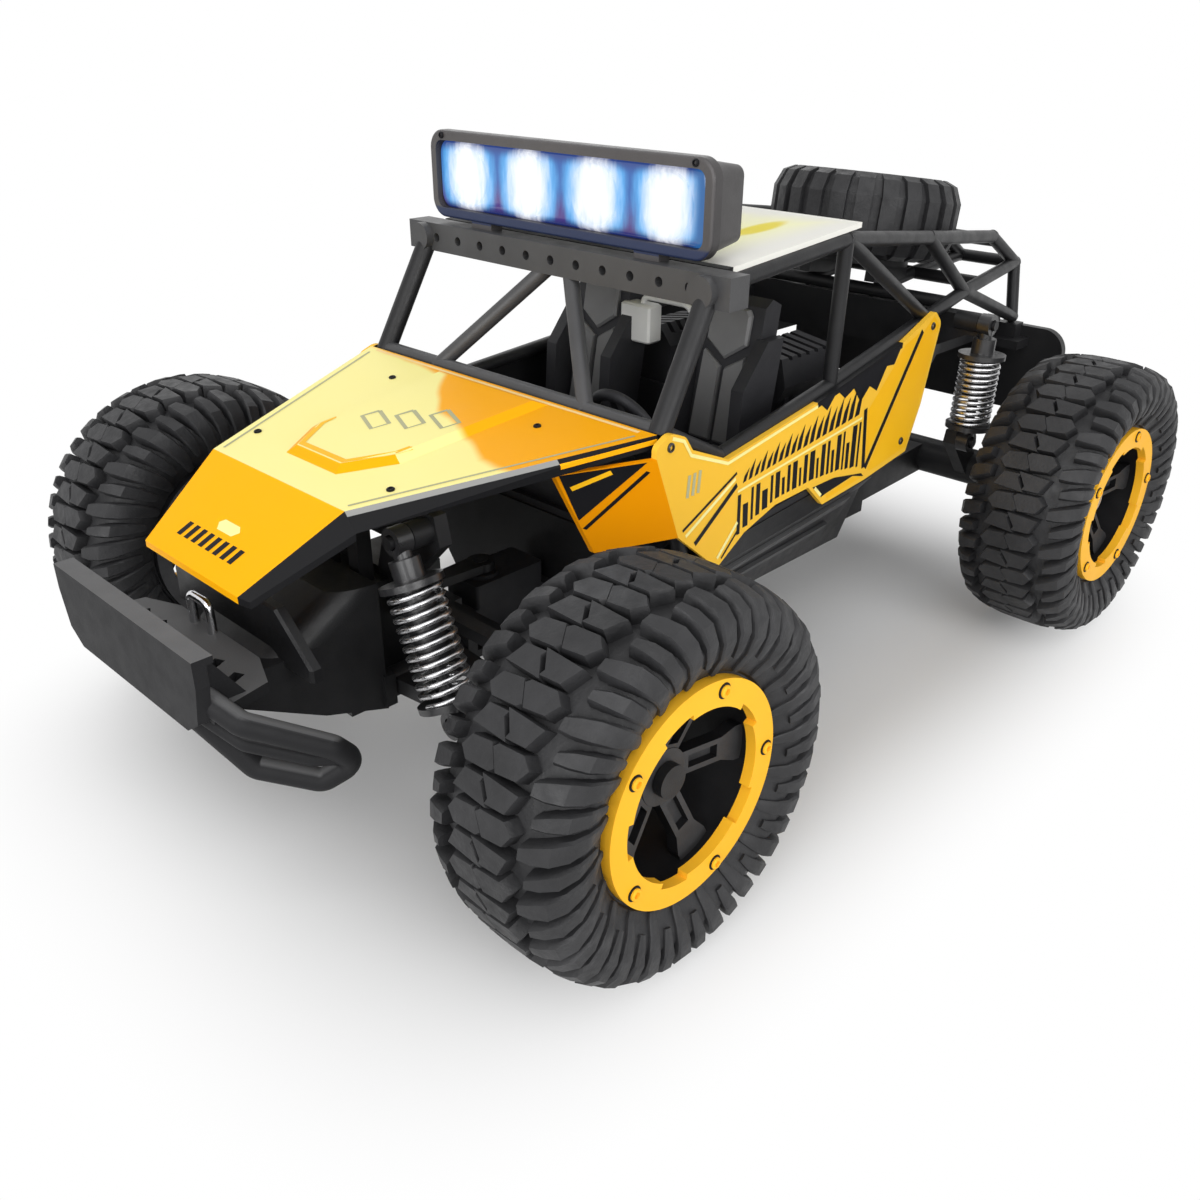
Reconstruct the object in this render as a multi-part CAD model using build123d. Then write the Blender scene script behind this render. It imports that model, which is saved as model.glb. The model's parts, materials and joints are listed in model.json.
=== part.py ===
from build123d import *
from math import cos, hypot, pi, radians, sin, sqrt, tan
import os

# Radio-controlled desert buggy of the 1:14 toy class, in millimetres.
# X points forward, Y to the buggy's left, Z up. The ground is z = 0 and the
# origin lies on it, half-way along the overall length.

os.makedirs("parts", exist_ok=True)

# ---------------------------------------------------------------- layout
wheelbase = 210.0
front_overhang = 65.0          # front axle to the bumper's face
rear_overhang = 51.0           # rear axle to the rear bumper's back
width_over_tyres = 210.8
front_axle_x = (wheelbase + rear_overhang - front_overhang) / 2
rear_axle_x = front_axle_x - wheelbase
nose_x = front_axle_x + front_overhang
tail_x = rear_axle_x - rear_overhang

# ---------------------------------------------------------------- fits
shaft_fit = 0.06               # radial clearance of a shaft in its bearing bore
pin_fit = 0.30                 # radial clearance of a moulded pivot
side_gap = 0.30                # end clearance beside a turning piece
eye_play = 0.45                # radial play in a shock's lower eye
ball_play = 1.75               # radial play of the tie bar's sockets
slide_gap = 0.10               # clearance under and beside a sliding knob

# ---------------------------------------------------------------- wheels
tyre_radius = 44.15
tyre_width = 36.7
lug_height = 3.2
lug_width = 7.6
lug_count = 18                 # shoulder lugs on each side
tyre_wall = 3.0
bead_radius = 24.0
bead_half_width = 13.15
bead_depth = 4.0
ring_radius = 25.1
ring_thickness = 2.5
ring_inner_radius = 20.4
ring_lobe_depth = 1.3          # the ring is this much wider beside each screw
ring_lobe_angle = 24.0         # half angle of each wide part
rim_wall = 2.8
ring_bolts = 5
screw_circle = 22.6
screw_hole = 0.9
spoke_thickness = 3.0
spoke_half_width = 2.9
spoke_dish = 4.0               # the spokes stand this much further out at the rim
hub_radius = 6.5
hub_length = 14.0
axle_radius = 3.0
front_wheel_turn = 19.0        # how far each pair of rims stands turned on its axle
rear_wheel_turn = 27.0
axle_nut_radius = 3.8
axle_nut_length = 2.2
axle_z = tyre_radius
wheel_y = (width_over_tyres - tyre_width) / 2
tyre_inner_y = wheel_y - tyre_width / 2
hub_inner_y = wheel_y - hub_length / 2
hub_outer_y = wheel_y + hub_length / 2

# ---------------------------------------------------------------- front suspension
arm_pivot_y = 15.0
arm_drop = 6.65                # arm pivot below the axle
arm_pivot_z = axle_z - arm_drop
link_rise = 18.0               # upper link above the lower arm
arm_barrel_radius = 3.2
arm_pin_radius = 1.5
arm_plate = 4.0
arm_half_length = 11.0
carrier_web = 3.0
kingpin_inset = 6.7            # kingpin inboard of the tyre's inner wall
kingpin_offset = 10.0          # kingpin outboard of the arm's outer pivot
kingpin_y = tyre_inner_y - kingpin_inset
carrier_pivot_y = kingpin_y - kingpin_offset
kingpin_radius = 1.5
knuckle_half_height = 8.5
knuckle_radius = 3.2
carrier_ear = 3.0
steer_arm = 16.0               # kingpin to tie bar, also servo shaft to tie bar
steer_pin_radius = 1.5
steer_arm_thickness = 3.0
tie_bar_z = axle_z - 2.15
tie_bar_height = 3.0
tie_bar_width = 5.0
tie_x = front_axle_x - steer_arm
servo_x = tie_x - steer_arm
steer_pin_length = 13.5

# ---------------------------------------------------------------- shocks
shock_eye_width = 4.0
shock_pin_radius = 1.5
shock_body_radius = 4.0
shock_rod_radius = 1.6
spring_seat_radius = 7.4
spring_seat_height = 4.6       # lower eye to the underside of the spring seat
spring_seat_thickness = 1.5
spring_cup_drop = 9.0          # upper eye to the top of the spring cup
shock_cap_radius = 3.6
shock_cap_height = 4.8
spring_wire = 1.3
spring_mean_radius = 5.9
spring_turns = 12
shock_stroke = 7.0
front_shock_x = front_axle_x + 13.0
front_shock_top = (27.0, 79.6)     # y, z
front_shock_foot = (carrier_pivot_y - 8.0, arm_pivot_z + 2.5)    # y, z
rear_shock_top = (rear_axle_x + 13.0, 96.0)    # x, z
rear_shock_foot = (rear_axle_x + 15.0, axle_z + 13.85)   # x, z

# ---------------------------------------------------------------- chassis
floor_z = 30.0
floor_thickness = 2.2
floor_half_width = 36.0
tub_wall = 2.0
tub_front_x = front_axle_x - 52.0
tub_rear_x = rear_axle_x + 56.0
rim_z = 60.0                   # top of the tub's side walls
keel_half_width = 12.0
panel_gauge = 1.6
panel_half_width = 52.0        # outer face of the side panels at x = 0
panel_flare = 0.08             # the panels widen towards the front
trail_pivot_x = tub_rear_x - 6.0
trail_pivot_z = 42.0
trail_pin_radius = 2.5
trail_arm_y = 32.0
trail_arm_width = 7.4
trail_lug = 2.0

# ---------------------------------------------------------------- rear axle
axle_tube_radius = 6.0
gear_module = 0.7
gear_teeth = 48
pinion_teeth = 10
gear_width = 6.0
gear_y = -7.0                  # middle of the gear pair
gear_backlash = 0.30
case_wall = 2.0
case_gap = 0.8
motor_radius = 12.0
motor_length = 27.0
motor_shaft_radius = 1.15
motor_angle = 20.0             # motor forward of the axle, and this far up
gear_pitch_radius = gear_module * gear_teeth / 2
pinion_pitch_radius = gear_module * pinion_teeth / 2
gear_distance = gear_pitch_radius + pinion_pitch_radius
motor_x = rear_axle_x + gear_distance * cos(radians(motor_angle))
motor_z = axle_z + gear_distance * sin(radians(motor_angle))

# ---------------------------------------------------------------- cage and body
cage_tube_radius = 2.1
pillar_radius = 2.7
cowl_x = front_axle_x - 44.0
engine_bay_length = 31.0       # tub's rear end to the pillar behind the doors
b_pillar_x = tub_rear_x + engine_bay_length
cowl_z = 96.5
roof_front_z = 126.0
roof_rear_z = 129.5
deck_z = 102.0
hood_gauge = 1.6
roof_gauge = 1.4
rail_depth = 7.0
rail_nose = 1.5                # rail's face ahead of the pillar's upper end
rail_height = 7.5
rail_half_length = 58.0
rail_holes = 11
rail_hole_radius = 1.2
light_half_length = 50.0
light_height = 22.6
light_bezel = 3.0
light_frame = 2.6              # width of the bezel round the window
light_corner = 5.0             # radius of the bezel's corners
light_depth = 14.0
light_back_step = 0.8          # the back stands this much inside the bezel
light_back_taper = 2.6         # and this much inside it at its rear face
light_pocket = 6.5             # depth of the window
light_clusters = 4
spare_radius = 31.3
spare_width = 26.0
spare_bore = 5.0
spare_lugs = 24
spare_lug_width = 5.0
spare_tilt = 8.0
bumper_mount_x = front_axle_x + 44.0
bumper_mount_z = 56.2          # the bumper's tongue rests here on the nose


def panel_outer(x):
    """Outer face of the left side panel at station x."""
    return panel_half_width + panel_flare * x


def panel_inner(x):
    return panel_outer(x) - panel_gauge * sqrt(1 + panel_flare ** 2)


def belt_y(x):
    """Centre line of a belt tube lying against the panel's inner face."""
    return panel_inner(x) - cage_tube_radius * sqrt(1 + panel_flare ** 2)


def between(start, end, share):
    return tuple(a + (b - a) * share for a, b in zip(start, end))


# The rear shocks stand midway between the cage and the tyres.
rear_shock_y = (belt_y(rear_shock_top[0]) + cage_tube_radius + tyre_inner_y) / 2

# Nodes of the left half of the cage.
cowl_node = (cowl_x, belt_y(cowl_x), cowl_z)
header_node = (cowl_x - 17.0, 51.0, roof_front_z)
roof_node = (b_pillar_x, 47.0, roof_rear_z)
sill_node = (cowl_x - 24.0, belt_y(cowl_x - 24.0), 84.0)
belt_node = (b_pillar_x, belt_y(b_pillar_x), 90.0)
deck_node = (rear_axle_x, belt_y(rear_axle_x), deck_z)
rear_top_node = (rear_axle_x - 28.0, 33.0, 115.5)
tail_top_node = (tail_x + 4.0, 34.0, 104.6)
tail_low_node = (tail_x + 5.0, 37.0, 86.0)
pillar_foot = (cowl_x, panel_inner(cowl_x) - pillar_radius * sqrt(1 + panel_flare ** 2), cowl_z)
brace_node = between(belt_node, deck_node, 0.68)
rail_node = between(roof_node, rear_top_node, 0.5)
tail_post_z = tail_low_node[2] - 2.0
light_face_x = header_node[0] + rail_nose - 2.5

# Corners of the hood: rear edge, kink and nose.
hood_rear = (cowl_x + 3.6, panel_inner(cowl_x) - side_gap, 97.3)
hood_kink = (front_axle_x + 25.4, 26.7, 90.0)
hood_nose = (front_axle_x + 48.2, 19.9, 75.9)
hood_slope = (hood_kink[2] - hood_rear[2]) / (hood_kink[0] - hood_rear[0])


def hood_top(x):
    return hood_rear[2] + hood_slope * (x - hood_rear[0])


def hood_under(x):
    return hood_top(x) - hood_gauge


# ---------------------------------------------------------------- shape helpers
def sheet(points, push):
    """A flat plate with straight edges, pushed along a vector."""
    face = Face(Wire.make_polygon([Vector(*p) for p in points], close=True))
    return Solid.extrude(face, Vector(*push))


def prism_x(outline, x0, x1):
    return sheet([(x0, y, z) for y, z in outline], (x1 - x0, 0, 0))


def prism_y(outline, y0, y1):
    return sheet([(x, y0, z) for x, z in outline], (0, y1 - y0, 0))


def prism_z(outline, z0, z1):
    return sheet([(x, y, z0) for x, y in outline], (0, 0, z1 - z0))


def block(low, high):
    size = [abs(b - a) for a, b in zip(low, high)]
    centre = [(a + b) / 2 for a, b in zip(low, high)]
    return Pos(*centre) * Box(*size)


def tube(start, end, radius=cage_tube_radius, extra=0.0):
    """A round bar between two points, run on at both ends by extra."""
    axis = Vector(*end) - Vector(*start)
    origin = Vector(*start) - axis.normalized() * extra
    return Solid.make_cylinder(radius, axis.length + 2 * extra, Plane(origin=origin, z_dir=axis))


def rod_x(y, z, radius, x0, x1):
    return tube((x0, y, z), (x1, y, z), radius)


def rod_y(x, z, radius, y0, y1):
    return tube((x, y0, z), (x, y1, z), radius)


def rod_z(x, y, radius, z0, z1):
    return tube((x, y, z0), (x, y, z1), radius)


def bent_tube(points, radius, bend):
    path = FilletPolyline(*points, radius=bend)
    start = Plane(origin=path @ 0, z_dir=path % 0)
    return sweep(start * Circle(radius), path=path)


def mirrored(shape):
    """The same piece on the buggy's other side."""
    return mirror(shape, about=Plane.XZ)


def both(shape):
    return shape + mirrored(shape)


def joined(pieces):
    whole = pieces[0]
    for piece in pieces[1:]:
        whole = whole + piece
    return whole


# ---------------------------------------------------------------- wheels
# A wheel is drawn round Z with its outer side up, then laid on its axle.
def on_wheel(shape, x, side):
    placed = Pos(x, wheel_y, axle_z) * (Rot(-90, 0, 0) * shape)
    return placed if side > 0 else mirrored(placed)


def carcass(radius, width, bead, bead_half, shoulder_drop):
    """The hollow casing of a tyre without its tread."""
    half = width / 2
    crown = radius
    shoulder = (crown - 1.6, half - 2.6)
    lip = (bead + 1.4, bead_half)
    heel = (bead + 2.2, bead_half + 2.0)
    belly = ((heel[0] + shoulder[0]) / 2, half)
    inner_bead = (bead, bead_half - bead_depth)
    inner_wall = (bead + bead_depth, bead_half - bead_depth)
    inner_crown = (crown - tyre_wall - shoulder_drop, half - tyre_wall - 2.0)

    def flip(point):
        return (point[0], -point[1])

    upper = Polyline(inner_bead, (bead, bead_half), lip, heel)
    side = ThreePointArc(heel, belly, shoulder)
    tread = ThreePointArc(shoulder, (crown, 0), flip(shoulder))
    lower_side = ThreePointArc(flip(shoulder), flip(belly), flip(heel))
    lower = Polyline(flip(heel), flip(lip), (bead, -bead_half), flip(inner_bead))
    inside = Polyline(flip(inner_bead), flip(inner_wall), flip(inner_crown),
                      inner_crown, inner_wall, inner_bead)
    outline = make_face([upper, side, tread, lower_side, lower, inside])
    return revolve(Plane.XZ * outline, Axis.Z)


def shoulder_lug():
    """One block that starts on the tread and wraps over on to the sidewall."""
    half = tyre_width / 2
    base = tyre_radius - lug_height - 1.5
    outline = [(base, 7.0), (tyre_radius + 1, 7.0), (tyre_radius + 1, half - 4.0),
               (tyre_radius - 1.6, half - 1.2), (base - 4.5, half), (base - 5.5, half - 2.0),
               (base, half - 5.0)]
    lug = sheet([(r, -lug_width / 2, y) for r, y in outline], (0, lug_width, 0))
    return lug


def centre_lug():
    """One slanted block on the middle of the tread."""
    depth = lug_height + 2.5
    middle = tyre_radius + 1 - depth / 2
    return Pos(middle, 0, 0) * (Rot(28, 0, 0) * Box(depth, lug_width, 15.0))


def tyre():
    body = carcass(tyre_radius - lug_height, tyre_width, bead_radius, bead_half_width, 1.0)
    step = 360 / lug_count
    upper = [Rot(0, 0, 90 + k * step) * shoulder_lug() for k in range(lug_count)]
    lower = [Rot(0, 0, 90 + (k + 0.5) * step) * mirror(shoulder_lug(), about=Plane.XY)
             for k in range(lug_count)]
    middle = [Rot(0, 0, 90 + k * step) * centre_lug() for k in range(lug_count)]
    limit = Cylinder(tyre_radius, tyre_width)
    lugs = Compound(children=upper + lower + middle)
    return body + [limit & lug for lug in lugs.solids()]


def rim():
    """The black rim: barrel with bead flange, five forked spokes and the hub."""
    inner = bead_radius - rim_wall
    flange = ring_thickness
    outline = Polyline((inner, -bead_half_width - flange), (ring_radius, -bead_half_width - flange),
                       (ring_radius, -bead_half_width), (bead_radius, -bead_half_width),
                       (bead_radius, bead_half_width), (inner, bead_half_width), close=True)
    barrel = revolve(Plane.XZ * make_face(outline), Axis.Z)
    hub = Cylinder(hub_radius, hub_length)
    spokes = [Rot(0, 0, 90 + k * 360 / ring_bolts) * spoke(inner) for k in range(ring_bolts)]
    bore = Cylinder(axle_radius + shaft_fit, hub_length * 2)
    return barrel + hub + spokes - bore


def spoke(reach):
    """A dished spoke that spreads at the rim, with a long pocket in its face."""
    root = hub_radius - 1.5
    shoulder = reach - 5.5
    flare = spoke_half_width + 1.5
    half_outline = [(root, spoke_half_width), (shoulder, spoke_half_width), (reach - 2, flare),
                    (reach + 1, flare)]
    pocket = [(root + 2.5, spoke_half_width - 1.3), (shoulder - 1, spoke_half_width - 1.3)]

    def face_point(x, y):
        return (x, y, hub_length / 2 - 0.5 + spoke_dish * (x - root) / (reach - root))

    plate = sheet(ring_of(half_outline, face_point), (0, 0, -spoke_thickness))
    hollow = sheet(ring_of(pocket, face_point), (0, 0, -spoke_thickness * 0.6))
    return plate - hollow


def ring_of(half_outline, place):
    """Points of an outline and of its mirror image, each put in its place."""
    whole = half_outline + [(x, -y) for x, y in reversed(half_outline)]
    return [place(x, y) for x, y in whole]


def beadlock_ring():
    """The yellow clamp ring, wider inwards on both sides of each screw hole."""
    middle = bead_half_width + ring_thickness / 2
    plate = Cylinder(ring_radius, ring_thickness) - Cylinder(ring_inner_radius, ring_thickness)
    lobe_radius = ring_inner_radius - ring_lobe_depth
    collar = Cylinder(ring_inner_radius + 0.5, ring_thickness) - Cylinder(lobe_radius, ring_thickness)
    near = lobe_radius / 2
    rise = tan(radians(ring_lobe_angle))
    wedge = sheet([(near, -near * rise, -ring_thickness), (ring_radius, -ring_radius * rise, -ring_thickness),
                   (ring_radius, ring_radius * rise, -ring_thickness), (near, near * rise, -ring_thickness)],
                  (0, 0, 2 * ring_thickness))
    turns = [Rot(0, 0, 90 + k * 360 / ring_bolts) for k in range(ring_bolts)]
    lobes = [turn * (collar & wedge) for turn in turns]
    holes = [turn * (Pos(screw_circle, 0, 0) * Cylinder(screw_hole, ring_thickness)) for turn in turns]
    return Pos(0, 0, middle) * (plate + lobes - holes)


# ---------------------------------------------------------------- shocks
def shock_length(top, foot):
    return (Vector(*top) - Vector(*foot)).length


def shock_eye(z, bore):
    outer = Pos(0, 0, z) * (Rot(0, 90, 0) * Cylinder(bore + shock_pin_radius, shock_eye_width))
    return outer, Pos(0, 0, z) * (Rot(0, 90, 0) * Cylinder(bore, shock_eye_width * 2))


def shock_cylinder(length):
    """Upper eye, body, spring cup and the tube that the rod slides in."""
    cup_top = length - spring_cup_drop
    tube_end = spring_seat_height + spring_seat_thickness + shock_stroke + 1.5
    eye, bore = shock_eye(length, shock_pin_radius + pin_fit)
    neck = Pos(0, 0, (cup_top + length) / 2) * Cylinder(2.1, length - cup_top)
    body = Pos(0, 0, cup_top + shock_cap_height / 2) * Cylinder(shock_cap_radius, shock_cap_height)
    cup = Pos(0, 0, cup_top - spring_seat_thickness / 2) * Cylinder(spring_seat_radius,
                                                                  spring_seat_thickness)
    barrel = Pos(0, 0, (cup_top + tube_end) / 2) * Cylinder(shock_body_radius, cup_top - tube_end)
    well_top = cup_top + 3.0
    well = Pos(0, 0, (tube_end + well_top) / 2) * Cylinder(shock_rod_radius + shaft_fit,
                                                           well_top - tube_end)
    return neck + eye + body + cup + barrel - bore - well


def shock_rod(length):
    """Lower eye, spring seat and the sliding rod."""
    tube_end = spring_seat_height + spring_seat_thickness + shock_stroke + 1.5
    rod_top = min(tube_end + 5.0, length - spring_cup_drop + 2.5 - shock_stroke)
    eye, bore = shock_eye(0, shock_pin_radius + eye_play)
    neck = Pos(0, 0, spring_seat_height / 2) * Cylinder(2.2, spring_seat_height)
    seat = Pos(0, 0, spring_seat_height + spring_seat_thickness / 2) * Cylinder(
        spring_seat_radius, spring_seat_thickness)
    rod = Pos(0, 0, rod_top / 2 + 1) * Cylinder(shock_rod_radius, rod_top - 2)
    return eye + neck + seat + rod - bore


def shock_spring(length):
    """The coil between seat and cup, of square wire set on its corner."""
    low = spring_seat_height + spring_seat_thickness
    high = length - spring_cup_drop - spring_seat_thickness
    half = spring_wire / 2
    rise = high - low - 2 * half
    path = Pos(0, 0, low + half) * Helix(rise / spring_turns, rise, spring_mean_radius)
    section = Plane(origin=path @ 0, z_dir=path % 0, x_dir=(1, 0, 0)) * Polygon(
        (half, 0), (0, half), (-half, 0), (0, -half), align=None)
    return sweep(section, path=path, is_frenet=True)


def front_shock_place():
    foot = (front_shock_x, *front_shock_foot)
    top = (front_shock_x, *front_shock_top)
    axis = Vector(*top) - Vector(*foot)
    return Plane(origin=foot, x_dir=(1, 0, 0), z_dir=axis).location


def rear_shock_place():
    foot = (rear_shock_foot[0], rear_shock_y, rear_shock_foot[1])
    top = (rear_shock_top[0], rear_shock_y, rear_shock_top[1])
    axis = Vector(*top) - Vector(*foot)
    return Plane(origin=foot, x_dir=(0, 1, 0), z_dir=axis).location


def shock_set(end, place, length):
    """Cylinder, rod and spring of both shocks at one end of the buggy."""
    pieces = {"cylinder": shock_cylinder(length), "rod": shock_rod(length),
              "spring": shock_spring(length)}
    nodes = {}
    for name, piece in pieces.items():
        nodes[f"shock_{name}_{end}_left"] = place * piece
        nodes[f"shock_{name}_{end}_right"] = mirrored(place * piece)
    return nodes


# ---------------------------------------------------------------- front suspension
def lower_arm():
    """Wide A-arm with its hinge barrels and the shock's lower pin."""
    x0 = front_axle_x - arm_half_length
    x1 = front_axle_x + arm_half_length - 4.0
    y0 = arm_pivot_y
    y1 = carrier_pivot_y
    plate = prism_z([(x0, y0), (x0 + 3, y1 - 3), (x1, y1 - 3), (x1 + 4, y0)],
                    arm_pivot_z - arm_plate / 2, arm_pivot_z + arm_plate / 2)
    inner = rod_x(y0, arm_pivot_z, arm_barrel_radius, x0, x1 + 4)
    window = prism_z([(x0 + 5, y0 + 8), (x0 + 6, y1 - 16), (x1 - 3, y1 - 16), (x1 - 2, y0 + 8)],
                     floor_z, arm_pivot_z + arm_plate)
    outer = rod_x(y1, arm_pivot_z, arm_barrel_radius, x0 + 3, x1)
    slot = block((front_axle_x - 4 - side_gap, y1 - 4.5, floor_z),
                 (front_axle_x + 4 + side_gap, y1 + 4, arm_pivot_z + 5))
    foot_y, foot_z = front_shock_foot
    boss_end = front_shock_x - shock_eye_width / 2 - side_gap
    boss = rod_x(foot_y, foot_z, 3.2, x1 - 4, boss_end)
    pin = rod_x(foot_y, foot_z, shock_pin_radius, boss_end, front_shock_x + shock_eye_width / 2 + 1)
    body = plate + inner + outer + boss + pin - window - slot
    hinge = rod_x(y0, arm_pivot_z, arm_pin_radius + shaft_fit, x0 - 1, x1 + 5)
    carrier_pin = rod_x(y1, arm_pivot_z, arm_pin_radius, x0 + 4, x1 - 1)
    return body - hinge + carrier_pin


def upper_link():
    """Slim link that keeps the wheel carrier upright."""
    z = arm_pivot_z + link_rise
    half = 2.8
    inner = rod_x(arm_pivot_y, z, 3.0, front_axle_x - half, front_axle_x + half)
    outer = rod_x(carrier_pivot_y, z, 3.0, front_axle_x - half, front_axle_x + half)
    bar = block((front_axle_x - 2, arm_pivot_y, z - 1.5), (front_axle_x + 2, carrier_pivot_y, z + 1.5))
    holes = [rod_x(y, z, arm_pin_radius + pin_fit, front_axle_x - 9, front_axle_x + 9)
             for y in (arm_pivot_y, carrier_pivot_y)]
    return inner + outer + bar - holes[0] - holes[1]


def wheel_carrier():
    """C-shaped carrier: lugs for arm and link inboard, kingpin ears outboard."""
    link_z = arm_pivot_z + link_rise
    ear_bottom = axle_z - knuckle_half_height - side_gap
    ear_top = axle_z + knuckle_half_height + side_gap
    web_y = carrier_pivot_y + arm_barrel_radius + side_gap
    half = 6.0
    web_half = 4.5
    web = block((front_axle_x - web_half, web_y, ear_bottom - carrier_ear),
                (front_axle_x + web_half, web_y + carrier_web, ear_top + carrier_ear))
    ears = [block((front_axle_x - half, web_y, z),
                  (front_axle_x + half, kingpin_y + 4.0, z + carrier_ear))
            for z in (ear_bottom - carrier_ear, ear_top)]
    lug = prism_y([(front_axle_x - 4, arm_pivot_z - 3), (front_axle_x + 4, arm_pivot_z - 3),
                   (front_axle_x + 4, arm_pivot_z + 3), (front_axle_x - 4, arm_pivot_z + 3)],
                  carrier_pivot_y, web_y)
    knuckle_eye = rod_x(carrier_pivot_y, arm_pivot_z, 3.0, front_axle_x - 4, front_axle_x + 4)
    cheeks = [block((x, carrier_pivot_y, link_z - 2.5), (x + 2, web_y, link_z + 2.5))
              for x in (front_axle_x - 2.8 - side_gap - 2, front_axle_x + 2.8 + side_gap)]
    link_pin = rod_x(carrier_pivot_y, link_z, arm_pin_radius,
                     front_axle_x - 2.8 - side_gap - 2, front_axle_x + 2.8 + side_gap + 2)
    body = joined([web, *ears, lug, knuckle_eye, *cheeks, link_pin])
    bore = rod_x(carrier_pivot_y, arm_pivot_z, arm_pin_radius + shaft_fit,
                 front_axle_x - 9, front_axle_x + 9)
    kingpin_bore = rod_z(front_axle_x, kingpin_y, kingpin_radius + shaft_fit,
                         ear_bottom - 2 * carrier_ear, ear_top + 2 * carrier_ear)
    return body - bore - kingpin_bore


def knuckle():
    """Steering knuckle: kingpins, stub axle with nut, and the steering arm."""
    half = 4.5
    low = axle_z - knuckle_half_height
    high = axle_z + knuckle_half_height
    body = block((front_axle_x - half, kingpin_y, low), (front_axle_x + half, kingpin_y + 4.5, high))
    body = body + rod_z(front_axle_x, kingpin_y, knuckle_radius, low, high)
    pins = rod_z(front_axle_x, kingpin_y, kingpin_radius, low - carrier_ear, high + carrier_ear)
    collar = rod_y(front_axle_x, axle_z, 5.0, kingpin_y + 4.0, hub_inner_y - side_gap)
    stub = rod_y(front_axle_x, axle_z, axle_radius, kingpin_y, hub_outer_y + side_gap)
    nut = rod_y(front_axle_x, axle_z, axle_nut_radius, hub_outer_y + side_gap,
                hub_outer_y + side_gap + axle_nut_length)
    arm_low = tie_bar_z + tie_bar_height + side_gap
    arm = block((tie_x, kingpin_y - 1.5, arm_low),
                (front_axle_x, kingpin_y + 1.5, arm_low + steer_arm_thickness))
    pad = rod_z(tie_x, kingpin_y - 1.0, 3.0, arm_low, arm_low + steer_arm_thickness)
    post = rod_z(tie_x, kingpin_y - 1.0, steer_pin_radius, arm_low - steer_pin_length, arm_low)
    return joined([body, pins, collar, stub, nut, arm, pad, post])


def tie_bar():
    """Straight bar between the knuckles, with a slot for the servo horn's pin."""
    reach = kingpin_y - 1.0
    low = tie_bar_z
    high = tie_bar_z + tie_bar_height
    half = tie_bar_width / 2
    bar = block((tie_x - half, -reach, low), (tie_x + half, reach, high))
    socket = steer_pin_radius + ball_play
    ends = [rod_z(tie_x, side * reach, socket + 1.6, low, high) for side in (1, -1)]
    centre = block((tie_x - 5.0, -5.0, low), (tie_x + 3.2, 5.0, high))
    holes = [rod_z(tie_x, side * reach, socket, low - 1, high + 1) for side in (1, -1)]
    snug = steer_pin_radius + pin_fit
    slot = block((tie_x - snug - 1.0, -snug, low - 1), (tie_x + snug, snug, high + 1))
    return joined([bar, *ends, centre]) - holes[0] - holes[1] - slot


def servo_height():
    return tie_bar_z + tie_bar_height + 2.0


def steering_servo():
    """Servo lying on the keel, its output shaft upright."""
    low = floor_z + floor_thickness
    high = servo_height()
    body = block((servo_x - 17, -6.5, low), (servo_x + 7, 6.5, high))
    tabs = block((servo_x - 20, -6.5, low + 6), (servo_x + 10, 6.5, low + 8))
    turret = rod_z(servo_x, 0, 5.0, high, high + 1.0)
    shaft = rod_z(servo_x, 0, 2.0, high, high + 4.0)
    edges = body.edges().filter_by(Axis.Z)
    return joined([fillet(edges, 1.0), tabs, turret, shaft])


def servo_horn():
    """Horn on the servo shaft, whose pin drives the tie bar."""
    low = servo_height() + 1.0 + side_gap
    high = low + 2.4
    hub = rod_z(servo_x, 0, 3.8, low, high)
    arm = prism_z([(servo_x, -3.4), (tie_x, -2.4), (tie_x, 2.4), (servo_x, 3.4)], low, high)
    tip = rod_z(tie_x, 0, 2.4, low, high)
    pin = rod_z(tie_x, 0, steer_pin_radius, tie_bar_z - 1.0, low)
    bore = rod_z(servo_x, 0, 2.0 + shaft_fit, low - 1, high + 1)
    return joined([hub, arm, tip, pin]) - bore


# ---------------------------------------------------------------- rear axle
def gear_outline(teeth, shrink):
    """Spur gear outline: straight-flanked teeth that thin towards the tip."""
    pitch = gear_module * teeth / 2
    root = pitch - 1.2 * gear_module
    tip = pitch + 0.9 * gear_module
    step = 2 * pi / teeth
    thickness = step / 2 - shrink / pitch
    points = []
    for k in range(teeth):
        centre = k * step
        for radius, share in ((root, -0.66), (tip, -0.26), (tip, 0.26), (root, 0.66)):
            angle = centre + share * thickness
            points.append((radius * cos(angle), radius * sin(angle)))
    return points


def axle_gear():
    """Live rear axle: shaft, spur gear and the two wheel nuts."""
    shaft_end = hub_outer_y + side_gap
    shaft = rod_y(rear_axle_x, axle_z, axle_radius, -shaft_end, shaft_end)
    nuts = [rod_y(rear_axle_x, axle_z, axle_nut_radius, side * hub_outer_y,
                  side * (hub_outer_y + axle_nut_length)) for side in (1, -1)]
    teeth = prism_z(gear_outline(gear_teeth, gear_backlash), -gear_width / 2, gear_width / 2)
    gear = Pos(rear_axle_x, gear_y, axle_z) * (Rot(-90, 0, 0) * teeth)
    collars = [rod_y(rear_axle_x, axle_z, 5.0, side * (hub_inner_y - 1.5), side * hub_inner_y)
               for side in (1, -1)]
    return joined([shaft, gear, *nuts, *collars])


def motor_pinion():
    """Pinion in mesh with the axle gear, pressed on the motor's shaft."""
    teeth = prism_z(gear_outline(pinion_teeth, gear_backlash), -gear_width / 2, gear_width / 2)
    mesh = pinion_mesh_angle()
    pinion = Pos(motor_x, gear_y, motor_z) * (Rot(-90, 0, 0) * (Rot(0, 0, mesh) * teeth))
    shaft_end = gear_y + gear_width / 2 + case_wall + case_gap + 6.0
    shaft = rod_y(motor_x, motor_z, motor_shaft_radius, gear_y - gear_width / 2, shaft_end)
    return pinion + shaft


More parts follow.
